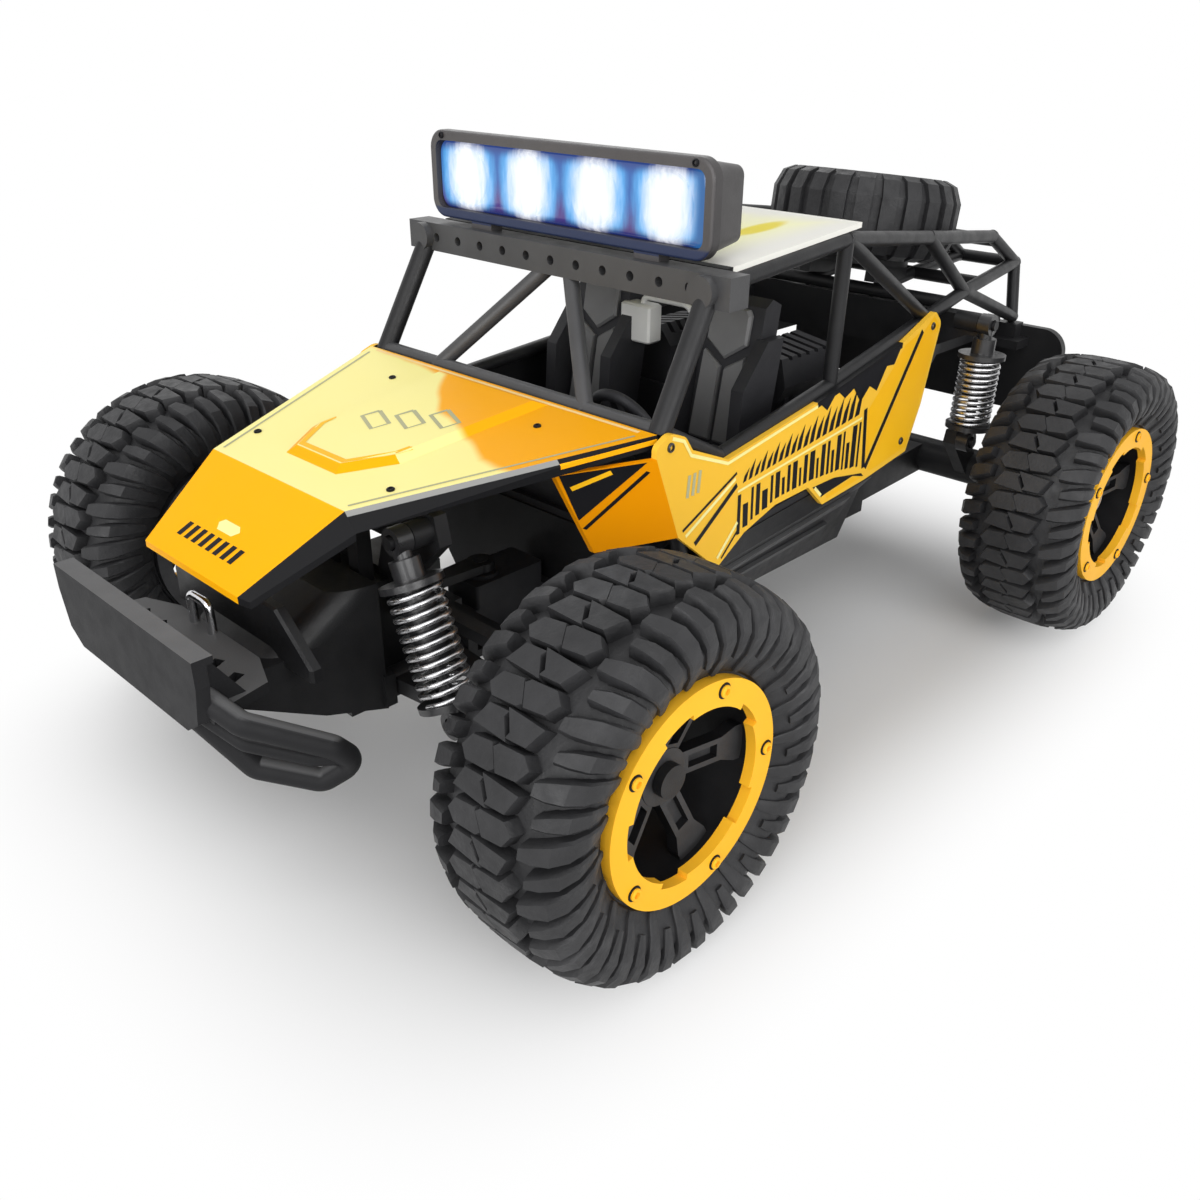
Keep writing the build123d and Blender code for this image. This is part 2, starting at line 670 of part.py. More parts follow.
def pinion_mesh_angle():
    """Turn of the pinion that puts a tooth gap opposite the gear's tooth."""
    line = -motor_angle
    gear_step = 360 / gear_teeth
    pinion_step = 360 / pinion_teeth
    gear_phase = (line % gear_step) / gear_step
    return line + 180 - (0.5 - gear_phase) * pinion_step


def drive_motor():
    """Brushed can motor with a domed end bell and terminals."""
    y0 = gear_y + gear_width / 2 + case_gap + case_wall
    y1 = y0 + motor_length
    can = rod_y(motor_x, motor_z, motor_radius, y0, y1)
    bell = rod_y(motor_x, motor_z, motor_radius - 4, y1, y1 + 2)
    well = rod_y(motor_x, motor_z, motor_shaft_radius + shaft_fit, y0 - 1, y0 + 7.0)
    return can + bell - well


def axle_housing():
    """Swinging rear axle: tubes, gear case, motor cradle and trailing arms."""
    tube_end = hub_inner_y - 1.5 - side_gap
    axle_tube = rod_y(rear_axle_x, axle_z, axle_tube_radius, -tube_end, tube_end)
    case = gear_case()
    cradle_y0 = gear_y + gear_width / 2 + case_gap
    cradle = rod_y(motor_x, motor_z, motor_radius + case_wall, cradle_y0, cradle_y0 + 14)
    socket = rod_y(motor_x, motor_z, motor_radius, cradle_y0 + case_wall, cradle_y0 + 20)
    arms = both(trailing_arm())
    brackets = both(shock_bracket())
    solid = joined([axle_tube, case, cradle, arms, brackets])
    bore = rod_y(rear_axle_x, axle_z, axle_radius + shaft_fit, -tube_end - 1, tube_end + 1)
    shaft_hole = rod_y(motor_x, motor_z, motor_shaft_radius + shaft_fit, gear_y, cradle_y0 + case_wall + 1)
    return solid - socket - gear_space() - bore - shaft_hole


def gear_case():
    reach = gear_width / 2 + case_gap + case_wall
    big = gear_pitch_radius + gear_module + case_gap + case_wall
    small = pinion_pitch_radius + gear_module + case_gap + case_wall
    return twin_drum(big, small, reach)


def gear_space():
    reach = gear_width / 2 + case_gap
    big = gear_pitch_radius + gear_module + case_gap
    small = pinion_pitch_radius + gear_module + case_gap
    return twin_drum(big, small, reach)


def twin_drum(big, small, reach):
    """A drum round the gear and one round the pinion."""
    y0 = gear_y - reach
    y1 = gear_y + reach
    return rod_y(rear_axle_x, axle_z, big, y0, y1) + rod_y(motor_x, motor_z, small, y0, y1)


def trailing_arm():
    """Left arm from the pivot under the tub back to the axle tube."""
    y0 = trail_arm_y - trail_arm_width / 2
    y1 = trail_arm_y + trail_arm_width / 2
    eye = trail_pin_radius + shaft_fit + 2.2
    outline = [(trail_pivot_x, trail_pivot_z - eye + 0.4), (trail_pivot_x, trail_pivot_z + eye - 0.4),
               (rear_axle_x, axle_z + axle_tube_radius - 1), (rear_axle_x, axle_z - axle_tube_radius + 1)]
    beam = prism_y(outline, y0 + 1, y1 - 1)
    barrel = rod_y(trail_pivot_x, trail_pivot_z, eye, y0, y1)
    hole = rod_y(trail_pivot_x, trail_pivot_z, trail_pin_radius + shaft_fit, y0 - 1, y1 + 1)
    axle_hole = rod_y(rear_axle_x, axle_z, axle_radius + shaft_fit, y0 - 1, y1 + 1)
    return beam + barrel - hole - axle_hole


def shock_bracket():
    """Upright on the axle tube that carries the rear shock's lower pin."""
    x, z = rear_shock_foot
    y1 = rear_shock_y - shock_eye_width / 2 - side_gap
    y0 = y1 - 4.0
    outline = [(rear_axle_x - 4, axle_z), (rear_axle_x + 5, axle_z - 2), (x + 3.2, z - 1),
               (x + 2.2, z + 3), (x - 2.2, z + 3)]
    plate = prism_y(outline, y0, y1)
    pin = rod_y(x, z, shock_pin_radius, y1, rear_shock_y + shock_eye_width / 2 + 1)
    hole = rod_y(rear_axle_x, axle_z, axle_radius + shaft_fit, y0 - 1, y1 + 1)
    return plate + pin - hole


# ---------------------------------------------------------------- chassis
def tub_section(x):
    """Right-hand run of the tub's outline at station x, then the left one."""
    edge = panel_inner(x)
    outer = [(floor_half_width, floor_z), (edge - 4, rim_z - 11), (edge, rim_z - 6), (edge, rim_z)]
    inner = [(edge - tub_wall, rim_z), (edge - tub_wall, rim_z - 5.5), (edge - 4 - tub_wall, rim_z - 10),
             (floor_half_width - 1.2, floor_z + floor_thickness)]
    left = outer + inner
    right = [(-y, z) for y, z in reversed(left)]
    return [(x, y, z) for y, z in left + right]


def closed_section(x):
    edge = panel_inner(x)
    left = [(floor_half_width, floor_z), (edge - 4, rim_z - 11), (edge, rim_z - 6), (edge, rim_z)]
    right = [(-y, z) for y, z in reversed(left)]
    return [(x, y, z) for y, z in left + right]


def hull_between(section, x0, x1):
    faces = [Face(Wire.make_polygon([Vector(*p) for p in section(x)], close=True)) for x in (x0, x1)]
    return loft(faces, ruled=True)


def chassis_tub():
    """Open trough with end walls, the front keel and the trailing arms' lugs."""
    trough = hull_between(tub_section, tub_rear_x, tub_front_x)
    ends = [hull_between(closed_section, tub_rear_x, tub_rear_x + tub_wall),
            hull_between(closed_section, tub_front_x - tub_wall, tub_front_x)]
    keel = block((tub_front_x - tub_wall, -keel_half_width, floor_z),
                 (front_axle_x + 20, keel_half_width, floor_z + floor_thickness))
    lugs = both(trail_lugs())
    body = joined([trough, *ends, keel, lugs, *board_posts()])
    return body - battery_opening(0) - switch_slot()


def trail_lugs():
    """Two ears and the pin that the left trailing arm turns on."""
    gap = trail_arm_width / 2 + side_gap
    ears = [block((trail_pivot_x - 4, y, trail_pivot_z - 5), (tub_rear_x, y + trail_lug, trail_pivot_z + 5))
            for y in (trail_arm_y - gap - trail_lug, trail_arm_y + gap)]
    pin = rod_y(trail_pivot_x, trail_pivot_z, trail_pin_radius, trail_arm_y - gap - trail_lug,
                trail_arm_y + gap + trail_lug)
    return joined([*ears, pin])


# Battery bay, opened from below.
bay_x0 = tub_rear_x + 10.0
bay_x1 = tub_front_x - 20.0
bay_half_width = 20.0
cover_step = 1.0


def battery_opening(margin):
    return block((bay_x0 + margin, -bay_half_width + margin, floor_z - 1),
                 (bay_x1 - margin, bay_half_width - margin, floor_z + floor_thickness + 1))


def battery_cover():
    """Flush lid under the battery bay with an inner lip and grip ribs."""
    gap = slide_gap
    lid = block((bay_x0 + gap, -bay_half_width + gap, floor_z),
                (bay_x1 - gap, bay_half_width - gap, floor_z + floor_thickness))
    lip = block((bay_x0 - 2, -12, floor_z + floor_thickness),
                (bay_x1 + 2, 12, floor_z + floor_thickness + cover_step))
    grooves = [block((bay_x0 + 6 + 3 * k, -8, floor_z - 1), (bay_x0 + 7.2 + 3 * k, 8, floor_z + 0.6))
               for k in range(5)]
    return joined([lid, lip]) - grooves


def battery_pack():
    """Two round cells side by side in one shrink sleeve."""
    cell = 9.0
    z = floor_z + floor_thickness + cover_step + cell
    x0 = bay_x0 + 3.0
    x1 = bay_x1 - 4.0
    cells = [rod_x(y, z, cell, x0, x1) for y in (-cell, cell)]
    sleeve = block((x0, -cell, z - cell), (x1, cell, z + cell))
    return joined([*cells, sleeve])


board_x0 = tub_front_x - 22.0
board_x1 = tub_front_x - 4.0
board_half_width = 18.0
board_z = 36.0


def board_posts():
    return [rod_z(x, side * (board_half_width - 3), 2.0, floor_z, board_z)
            for x in (board_x0 + 3, board_x1 - 3) for side in (1, -1)]


def receiver_board():
    """Receiver and speed controller on one board, with its main parts."""
    board = block((board_x0, -board_half_width, board_z), (board_x1, board_half_width, board_z + 1.6))
    chip = block((board_x0 + 4, -6, board_z + 1.6), (board_x0 + 12, 4, board_z + 3.4))
    sink = block((board_x0 + 3, 8, board_z + 1.6), (board_x0 + 13, 15, board_z + 7))
    fins = [block((board_x0 + 2, 9 + 2.2 * k, board_z + 3), (board_x0 + 14, 10 + 2.2 * k, board_z + 8))
            for k in range(3)]
    can = rod_z(board_x0 + 9, -12, 3.2, board_z + 1.6, board_z + 9)
    return joined([board, chip, sink, can]) - fins


# Power switch in the floor beside the battery lid.
switch_x = bay_x1 - 8.0
switch_y = 27.5
switch_travel = 4.0
switch_half_width = 2.4


def switch_slot():
    return block((switch_x - 3 - slide_gap, switch_y - switch_half_width - slide_gap, floor_z - 1),
                 (switch_x + 3 + slide_gap + switch_travel, switch_y + switch_half_width + slide_gap,
                  floor_z + floor_thickness + 1))


def power_switch():
    """Slider: a ribbed knob below the floor line and a flange above it."""
    top = floor_z + floor_thickness + slide_gap
    knob = block((switch_x - 3, switch_y - switch_half_width, floor_z + 0.4),
                 (switch_x + 3, switch_y + switch_half_width, top))
    flange = block((switch_x - 6, switch_y - 4, top), (switch_x + 6, switch_y + 4, top + 1.5))
    ribs = [block((switch_x - 2.2 + 1.6 * k, switch_y - 3, floor_z), (switch_x - 1.4 + 1.6 * k,
            switch_y + 3, floor_z + 1.0)) for k in range(3)]
    return joined([knob, flange]) - ribs


def front_bulkhead():
    """Front gearbox-like block with arm pins, shock tower and hood posts."""
    x0 = front_axle_x - arm_half_length - side_gap
    x1 = front_axle_x + arm_half_length + side_gap
    half = arm_pivot_y - arm_barrel_radius - 1.0
    base = floor_z + floor_thickness
    cheek_top = tie_bar_z - side_gap
    core = block((x0 + 1, -half, base), (x1 + 3, half, 62))
    wing = arm_pivot_y + 4.0
    cheek_outline = [(-half, base), (half, base), (wing, arm_pivot_z - 4.2), (wing, cheek_top),
                     (-wing, cheek_top), (-wing, arm_pivot_z - 4.2)]
    cheeks = [prism_x(cheek_outline, x, x + 3) for x in (x0 - 3, x1)]
    pins = both(rod_x(arm_pivot_y, arm_pivot_z, arm_pin_radius, x0 - 3, x1 + 3))
    link_z = arm_pivot_z + link_rise
    link_pin = both(rod_x(arm_pivot_y, link_z, arm_pin_radius, front_axle_x - 5.5, front_axle_x + 5.5))
    link_cheek = [block((x, -arm_pivot_y - 3, link_z - 3), (x + 2.4, arm_pivot_y + 3, link_z + 3))
                  for x in (front_axle_x - 5.5, front_axle_x + 3.1)]
    recess = both(block((front_axle_x - 3.1, half - 1, link_z - 4), (front_axle_x + 3.1, 40, link_z + 4)))
    body = joined([core, *cheeks, *link_cheek]) - recess
    return joined([body, pins, link_pin, shock_tower(), nose_cone(x1 + 3), *hood_posts()])


def shock_tower():
    """Plate across the nose that carries the upper ends of both shocks."""
    top_y, top_z = front_shock_top
    x1 = front_shock_x - spring_seat_radius - side_gap
    x0 = x1 - 3.5
    eye_x = front_shock_x - shock_eye_width / 2 - side_gap
    half_outline = [(10, 46), (10, 60.5), (17, 62), (top_y + 4.6, top_z - 3), (top_y + 3, top_z + 4),
                    (top_y - 4, top_z + 4.4), (14, top_z - 2)]
    outline = half_outline + [(-y, z) for y, z in reversed(half_outline)]
    plate = prism_x(outline, x0, x1)
    window = prism_x([(-7, 64), (7, 64), (10, 73), (-10, 73)], x0 - 1, x1 + 1)
    bosses = both(rod_x(top_y, top_z, 3.2, x0, eye_x))
    pins = both(rod_x(top_y, top_z, shock_pin_radius, eye_x, front_shock_x + shock_eye_width / 2 + 1))
    return plate - window + bosses + pins


def nose_cone(x0):
    """Rounded cover from the bulkhead down to the bumper's mount plate."""
    x1 = bumper_mount_x + 8.0
    outline = [(x0 - 1, floor_z + floor_thickness), (x0 - 1, 66), (x0 + 10, 66),
               (bumper_mount_x - 2, bumper_mount_z),
               (x1, bumper_mount_z), (x1, 50), (x0 + 16, 38)]
    cone = prism_y(outline, -18, 18)
    top = cone.edges().filter_by(Axis.X, reverse=True).filter_by(Axis.Y, reverse=True)
    flank = [edge for edge in top if edge.center().Z > bumper_mount_z + 1]
    return fillet(flank, 6.0)


def hood_posts():
    """Two posts whose sloping tops carry the hood."""
    posts = []
    for side in (1, -1):
        x0 = front_axle_x + 8.0
        x1 = x0 + 4.0
        outline = [(x0, 60.0), (x1, 60.0), (x1, hood_under(x1)), (x0, hood_under(x0))]
        posts.append(prism_y(outline, side * 9.0, side * 5.0))
    return posts


# ---------------------------------------------------------------- cage
def cage_side():
    """Left side frame of the roll cage, joined at the named nodes."""
    extra = cage_tube_radius * 0.4
    runs = [(header_node, roof_node), (roof_node, belt_node), (cowl_node, sill_node), (sill_node, belt_node),
            (belt_node, deck_node), (deck_node, tail_top_node), (roof_node, brace_node),
            (rail_node, deck_node), (roof_node, rear_top_node), (rear_top_node, tail_top_node),
            (tail_top_node, tail_low_node), (deck_node, tail_low_node)]
    tubes = [tube(start, end, extra=extra) for start, end in runs]
    pillar = tube(pillar_foot, header_node, pillar_radius, extra)
    feet = [tube(belt_node, (b_pillar_x, panel_inner(b_pillar_x) - 4.0, rim_z)),
            tube(cowl_node, (tub_front_x - 4.0, panel_inner(tub_front_x) - 4.0, rim_z))]
    below_rim = block((tail_x, 0, 0), (nose_x, 100, rim_z))
    below_post = block((tail_x, 0, 0), (tail_x + 20, 100, tail_post_z))
    return joined([pillar, *tubes, *feet]) - below_rim - below_post - rail_bar()


def rail_bar():
    """Solid of the drilled header rail, without its holes."""
    x1 = header_node[0] + rail_nose
    z0 = roof_front_z - rail_height / 2
    return block((x1 - rail_depth, -rail_half_length, z0), (x1, rail_half_length, z0 + rail_height))


def windscreen_frame():
    """Drilled header rail, two slanted stays, the cowl bar and its hood tabs."""
    x1 = header_node[0] + rail_nose
    pitch = 2 * (rail_half_length - 12.0) / (rail_holes - 1)
    holes = [rod_x(-rail_half_length + 12.0 + pitch * k, roof_front_z, rail_hole_radius, x1 - 3, x1 + 1)
             for k in range(rail_holes)]
    ends = both(rod_x(header_node[1], roof_front_z, pillar_radius + 1.0, x1, x1 + 2.4))
    cowl_bar = rod_y(cowl_x, cowl_z, cage_tube_radius, -pillar_foot[1], pillar_foot[1])
    stay_top = (x1 - 2.5, 5.0, roof_front_z - rail_height / 2)
    stays = both(tube(stay_top, (cowl_x, 28.0, cowl_z), extra=1.0))
    tabs = both(hood_tab(34.0))
    side = cage_side()
    return joined([rail_bar() - holes, ends, cowl_bar, stays, tabs]) - side - mirrored(side)


def hood_tab(y):
    """Tongue from the cowl bar forward under the hood."""
    x0 = cowl_x
    x1 = cowl_x + 12.0
    outline = [(x0, cowl_z - 3), (x1, hood_under(x1) - 2), (x1, hood_under(x1)),
               (cowl_x + 4.5, hood_under(cowl_x + 4.5)), (x0, cowl_z - 0.5)]
    return prism_y(outline, y - 3, y + 3)


def spare_plane():
    """Plane on the spare tyre's lower face, tipped backwards."""
    lean = radians(spare_tilt)
    top = Vector(rear_axle_x + 1.0, 0, 135.5)
    normal = Vector(-sin(lean), 0, cos(lean))
    return Plane(origin=top - normal * spare_width, x_dir=(cos(lean), 0, sin(lean)), z_dir=normal)


def spare_rack():
    """Cross bars of the rear deck, the rack on them and the spare's post."""
    deck_bar = between(belt_node, deck_node, 0.86)
    back_bar = between(deck_node, tail_top_node, 0.28)
    stop_bar = between(rear_top_node, tail_top_node, 0.15)
    ends = [deck_bar, back_bar, stop_bar, tail_top_node]
    bars = [tube((x, -y, z), (x, y, z)) for x, y, z in ends]
    rail_y = 13.0
    runs = [(deck_bar, back_bar), (back_bar, tail_top_node), (tail_top_node, stop_bar)]
    rails = [both(tube((a[0], rail_y, a[2]), (b[0], rail_y, b[2]), extra=1.0)) for a, b in runs]
    place = spare_plane()
    plate = place * (Pos(0, 0, -1.2) * Cylinder(18.0, 2.4))
    post = place * (Pos(0, 0, spare_width / 4) * Cylinder(spare_bore - pin_fit, spare_width / 2))
    legs = [place * (Pos(0, y, -4.5) * Box(20.0, 4.0, 6.6)) for y in (-rail_y, rail_y)]
    side = cage_side()
    return joined([*bars, *rails, plate, post, *legs]) - side - mirrored(side)


def spare_tyre():
    """Spare wheel, moulded in one with its ribbed tread and flat hub."""
    half = spare_width / 2
    core = spare_radius - 1.6
    shoulder = [(core - 6, half), (core - 2.2, half - 2.0), (core, half - 6.5)]
    outer = [(r, -z) for r, z in shoulder] + [(r, z) for r, z in reversed(shoulder)]
    outline = Polyline((spare_bore, -half + 5), (14.0, -half + 4), (16.0, -half), *outer,
                       (16.0, half), (14.0, half - 6), (spare_bore, half - 7), close=True)
    body = revolve(Plane.XZ * make_face(outline), Axis.Z)
    crown = [(core - 4.5, half), (core - 0.8, half - 1.6), (spare_radius, half - 7.0)]
    section = [(r, -z) for r, z in crown] + [(r, z) for r, z in reversed(crown)]
    lug = prism_y(section, -spare_lug_width / 2, spare_lug_width / 2)
    lugs = [Rot(0, 0, k * 360 / spare_lugs) * lug for k in range(spare_lugs)]
    whole = (body + lugs) & Cylinder(spare_radius, spare_width)
    return spare_plane() * (Pos(0, 0, half) * whole)


# ---------------------------------------------------------------- body shell
def hood():
    """Folded hood: sloping top, steep nose and bevelled flanks."""
    down = (0, 0, -hood_gauge)
    bevel_rear = (hood_rear[0], hood_rear[1], hood_rear[2] - 3.2)
    bevel_kink = (hood_kink[0], hood_kink[1] + 3.4, hood_kink[2] - 4.0)
    bevel_nose = (hood_nose[0] - 1.5, hood_nose[1] + 2.0, hood_nose[2] - 1.0)

    def flip(point):
        return (point[0], -point[1], point[2])

    top = sheet([hood_rear, hood_kink, flip(hood_kink), flip(hood_rear)], down)
    nose = sheet([hood_kink, hood_nose, flip(hood_nose), flip(hood_kink)], down)
    inward = (0, -hood_gauge, 0)
    flank = (sheet([hood_rear, bevel_rear, bevel_kink], inward)
             + sheet([hood_rear, bevel_kink, hood_kink], inward))
    cheek = sheet([hood_kink, bevel_kink, bevel_nose], down) + sheet([hood_kink, bevel_nose, hood_nose], down)
    shell = joined([top, nose, both(flank), both(cheek)])
    return shell + hood_relief()


def hood_plane(x):
    """Plane on the hood's top face, X along the slope."""
    run = Vector(1, 0, hood_slope)
    return Plane(origin=(x, 0, hood_top(x)), x_dir=run, z_dir=Vector(-hood_slope, 0, 1))


def hood_relief():
    """Raised middle panel with sloping edges and cut front corners."""
    length = hood_kink[0] - hood_rear[0]
    outline = Polygon((2, -20.5), (length - 21, -17.5), (length - 9, -10), (length - 9, 10),
                      (length - 21, 17.5), (2, 20.5), align=None)
    return hood_plane(hood_rear[0]) * extrude(outline, 1.4, taper=60)


def side_panel():
    """Left side panel: the main sheet and the facet that folds in at the front."""
    main = [(55.2, 97.5), (49.2, 95.2), (46.1, 91.1), (30.5, 84.4), (-12.3, 88.4), (-64.0, 95.5),
            (-83.5, 101.1), (-89.1, 96.7), (-82.0, 71.8), (-75.0, 57.6), (-47.7, 56.0), (-21.6, 55.9),
            (-12.0, 64.0), (5.6, 64.4), (20.6, 61.3), (32.6, 55.5), (50.6, 70.1), (60.3, 92.7), (60.3, 95.4)]

    def on_panel(x, z):
        return (x, panel_outer(x), z)

    push = (0, -panel_gauge * sqrt(1 + panel_flare ** 2), 0)
    sheet_main = sheet([on_panel(x, z) for x, z in main], push)
    ear = fillet(corners_at(sheet_main, main[:2]), 4.0)
    tail = fillet(corners_at(ear, main[6:8]), 3.0)
    sheet_main = fillet(corners_at(tail, main[-1:]), 2.0)
    fold_low = on_panel(50.6, 70.1)
    fold_top = on_panel(60.3, 92.7)
    return sheet_main + front_facet(fold_low, fold_top)


def corners_at(plate, places):
    """Edges through the plate's thickness at the named corners of its outline."""
    return [edge for edge in plate.edges() for x, z in places
            if hypot(edge.center().X - x, edge.center().Z - z) < 0.2]


def front_facet(fold_low, fold_top):
    """Facet from the fold inwards and forwards, under the hood's flank."""
    low = (fold_low[0] + 15.0, fold_low[1] - 13.5, fold_low[2] - 3.5)
    edge_a = Vector(*fold_top) - Vector(*fold_low)
    edge_b = Vector(*low) - Vector(*fold_low)
    normal = edge_a.cross(edge_b).normalized()
    far_x = low[0] + 12.0
    far_y = low[1] - 1.0
    origin = Vector(*fold_low)
    far_z = origin.Z - (normal.X * (far_x - origin.X) + normal.Y * (far_y - origin.Y)) / normal.Z
    top = (far_x, far_y, far_z)
    return sheet([fold_low, low, top, fold_top], (0, -panel_gauge, 0))


def roof_panel():
    """Roof sheet lying on the two roof rails, with turned-down edges."""
    slope = (roof_node[2] - header_node[2]) / (roof_node[0] - header_node[0])
    lift = cage_tube_radius * sqrt(1 + slope ** 2)
    front_x = header_node[0] + rail_nose - rail_depth - 0.5
    rear_x = roof_node[0] - 6.0
    front = (front_x, header_node[1], header_node[2] + lift + slope * (front_x - header_node[0]))
    rear = (rear_x, roof_node[1] + 0.5, header_node[2] + lift + slope * (rear_x - header_node[0]))
    up = (0, 0, roof_gauge)
    corners = [front, rear, (rear[0], -rear[1], rear[2]), (front[0], -front[1], front[2])]
    plate = sheet(corners, up)
    rib = rod_y(roof_node[0], roof_node[2] + 0.4, cage_tube_radius, -roof_node[1], roof_node[1])
    side = cage_side()
    return plate + rib - side - mirrored(side)


def light_base_z():
    return roof_front_z + rail_height / 2 + 1.6


def light_section(x, inset, corner):
    """Rounded outline of the light bar, drawn in from its outer edge."""
    centre = (x, 0, light_base_z() + light_height / 2)
    outline = RectangleRounded(2 * (light_half_length - inset), light_height - 2 * inset, corner)
    return Plane(origin=centre, x_dir=(0, 1, 0), z_dir=(1, 0, 0)) * outline


def light_housing():
    """Light bar housing: bezel, tapered back and two feet on the rail."""
    x1 = light_face_x
    z0 = light_base_z()
    bezel = extrude(light_section(x1 - light_bezel, 0, light_corner), light_bezel)
    bezel = fillet(bezel.edges().group_by(Axis.X)[-1], 0.8)
    steps = ((x1 - light_bezel, light_back_step), (x1 - light_depth, light_back_taper))
    back = loft([light_section(x, inset, light_corner - inset).face() for x, inset in steps], ruled=True)
    feet = [block((x1 - light_bezel - 1.4, side * 30 - 4, z0 - 1.6), (x1 - 0.5, side * 30 + 4, z0 + 2.4))
            for side in (1, -1)]
    opening = light_section(x1 - light_pocket, light_frame, light_corner - light_frame)
    window = extrude(opening, light_pocket + 1)
    return joined([bezel, back, *feet]) - window


def light_lens():
    """Clear cover over four round lamp clusters."""
    x1 = light_face_x
    corner = light_corner - light_frame + 0.8
    cover = extrude(light_section(x1 - 2.2, light_frame, corner), 1.4)
    middle = light_base_z() + light_height / 2
    reach = light_half_length - light_frame
    pitch = 2 * reach / light_clusters
    bulbs = [rod_x(pitch * (k + 0.5) - reach, middle, 7.0, x1 - light_pocket, x1 - 2.2)
             for k in range(light_clusters)]
    return joined([cover, *bulbs])


def cockpit_interior():
    """One moulding: floor tray, two bucket seats, dash, wheel and engine."""
    x0 = tub_rear_x + 1.0
    x1 = tub_front_x - 1.0
    gap = 0.4
    tray = sheet([(x0, panel_inner(x0) - gap, rim_z), (x1, panel_inner(x1) - gap, rim_z),
                  (x1, -panel_inner(x1) + gap, rim_z), (x0, -panel_inner(x0) + gap, rim_z)], (0, 0, 2.0))
    notches = [both(block((x - 4, panel_inner(x) - 8.0, rim_z - 1), (x + 4, panel_inner(x) + 2.0, rim_z + 3)))
               for x in (b_pillar_x, tub_front_x - 4.0)]
    tray = tray - notches
    return joined([tray, both(seat()), dash(), engine()])


def seat():
    """Left bucket seat: cushion, reclined back with bolsters."""
    y0 = 11.0
    y1 = 38.0
    hip = b_pillar_x + 18.0
    z0 = rim_z + 2.0
    back_side = [(hip, z0), (hip + 8, z0), (hip - 1, 112), (hip - 4, 114), (hip - 8, 112)]
    back = prism_y(back_side, y0 + 3, y1 - 3)
    bolster_side = [(hip + 1, z0), (hip + 13, z0), (hip + 11, 92), (hip + 1, 104), (hip - 6, 104)]
    bolsters = [prism_y(bolster_side, y, y + 4) for y in (y0, y1 - 4)]
    cushion = block((hip, y0, z0), (hip + 30, y1, z0 + 8))
    return joined([back, *bolsters, cushion])


def dash():
    """Dashboard under the cowl, with the steering wheel on its column."""
    x1 = tub_front_x + 6.0
    z0 = rim_z + 2.0
    outline = [(x1 - 14, z0), (x1 - 9, 84), (x1 - 3, 92), (x1 + 2, 92), (x1 - 9, z0)]
    board = prism_y(outline, -43, 43)
    centre = Vector(x1 - 16, 24.5, 88)
    column = tube((x1 - 6, 24.5, 84), tuple(centre), 1.8)
    face = Plane(origin=centre, z_dir=(-0.87, 0, 0.5))
    wheel = face * Torus(9.5, 1.5)
    hub = face * Cylinder(3.0, 2.4)
    bars = face * Box(18.0, 2.4, 1.6)
    return joined([board, column, wheel, hub, bars])


def engine():
    """Dummy engine behind the seats: ribbed block, two rocker covers, air filter."""
    x0 = tub_rear_x + 4.0
    x1 = b_pillar_x + 2.0
    z0 = rim_z + 2.0
    base = block((x0, -26, z0), (x1, 26, z0 + 16))
    pitch = (x1 - x0) / 6
    ribs = [block((x0 + pitch * (k + 0.6), -30, z0 + 2), (x0 + pitch * (k + 1), 30, z0 + 20))
            for k in range(5)]
    covers = both(rocker_cover(x0 + 1.5, x1 - 1.5, z0 + 14))
    plenum = block((x0 + pitch, -9, z0 + 14), (x1 - pitch, 9, z0 + 30))
    cleaner = rod_z((x0 + x1) / 2, 0, 10.5, z0 + 29, z0 + 38)
    lid = rod_z((x0 + x1) / 2, 0, 11.5, z0 + 38, z0 + 40)
    return joined([base, *ribs, covers, plenum, cleaner, lid])


def rocker_cover(x0, x1, z0):
    """Left rocker cover, leaning outwards, with five grooves across its top."""
    body = prism_x([(10, z0), (27, z0), (32, z0 + 10), (30, z0 + 18), (17, z0 + 20), (12, z0 + 14)], x0, x1)
    pitch = (x1 - x0) / 6
    grooves = [block((x0 + pitch * (k + 0.8), 8, z0 + 17), (x0 + pitch * (k + 1.2), 34, z0 + 22))
               for k in range(5)]
    return body - grooves


# ---------------------------------------------------------------- bumpers and rear frame
def front_bumper():
    """Bumper: face plate, mount plate with slots, and two tube hoops a side."""
    face_outline = [(-31, 66), (-31, 72), (31, 72), (31, 66), (29, 57), (24, 53.5), (-24, 53.5), (-29, 57)]
    plate = prism_x(face_outline, nose_x - 3.0, nose_x)
    lip = block((nose_x - 4.5, -31, 70.4), (nose_x, 31, 72))
    outline = [(bumper_mount_x, 17.0), (bumper_mount_x + 4, 27), (nose_x - 3, 30)]
    wing = outline + [(x, -y) for x, y in reversed(outline)]
    mount_top = bumper_mount_z + 2.6
    mount = prism_z(wing, bumper_mount_z, mount_top)
    brace = [(nose_x - 12, mount_top), (nose_x - 3, mount_top), (nose_x - 3, 70), (nose_x - 4.5, 70)]
    gussets = [prism_y(brace, y - 1.0, y + 1.0) for y in (-26, 0, 26)]
    slots = [Pos(nose_x - 12, side * y, mount_top - 1) * (Rot(0, 0, side * 25) * Box(6, 2.6, 6))
             for y in (13, 21) for side in (1, -1)]
    return joined([plate, lip, mount, *gussets, both(bumper_hoop())]) - slots


def bumper_hoop():
    """Left hoop: out from the plate, back, round and forward again below."""
    x = nose_x
    outer = [(x - 2.5, 25, 62), (x - 7, 33, 56), (x - 22, 41, 47), (x - 27, 41, 41), (x - 21, 37, 37),
             (x - 11, 28, 41), (x - 3, 20, 55)]
    inner = [(x - 2.5, 22, 57), (x - 8, 31, 50), (x - 19, 37.5, 44), (x - 23.5, 39.5, 43)]
    return bent_tube(outer, 2.6, 3.2) + bent_tube(inner, 1.8, 4.0)


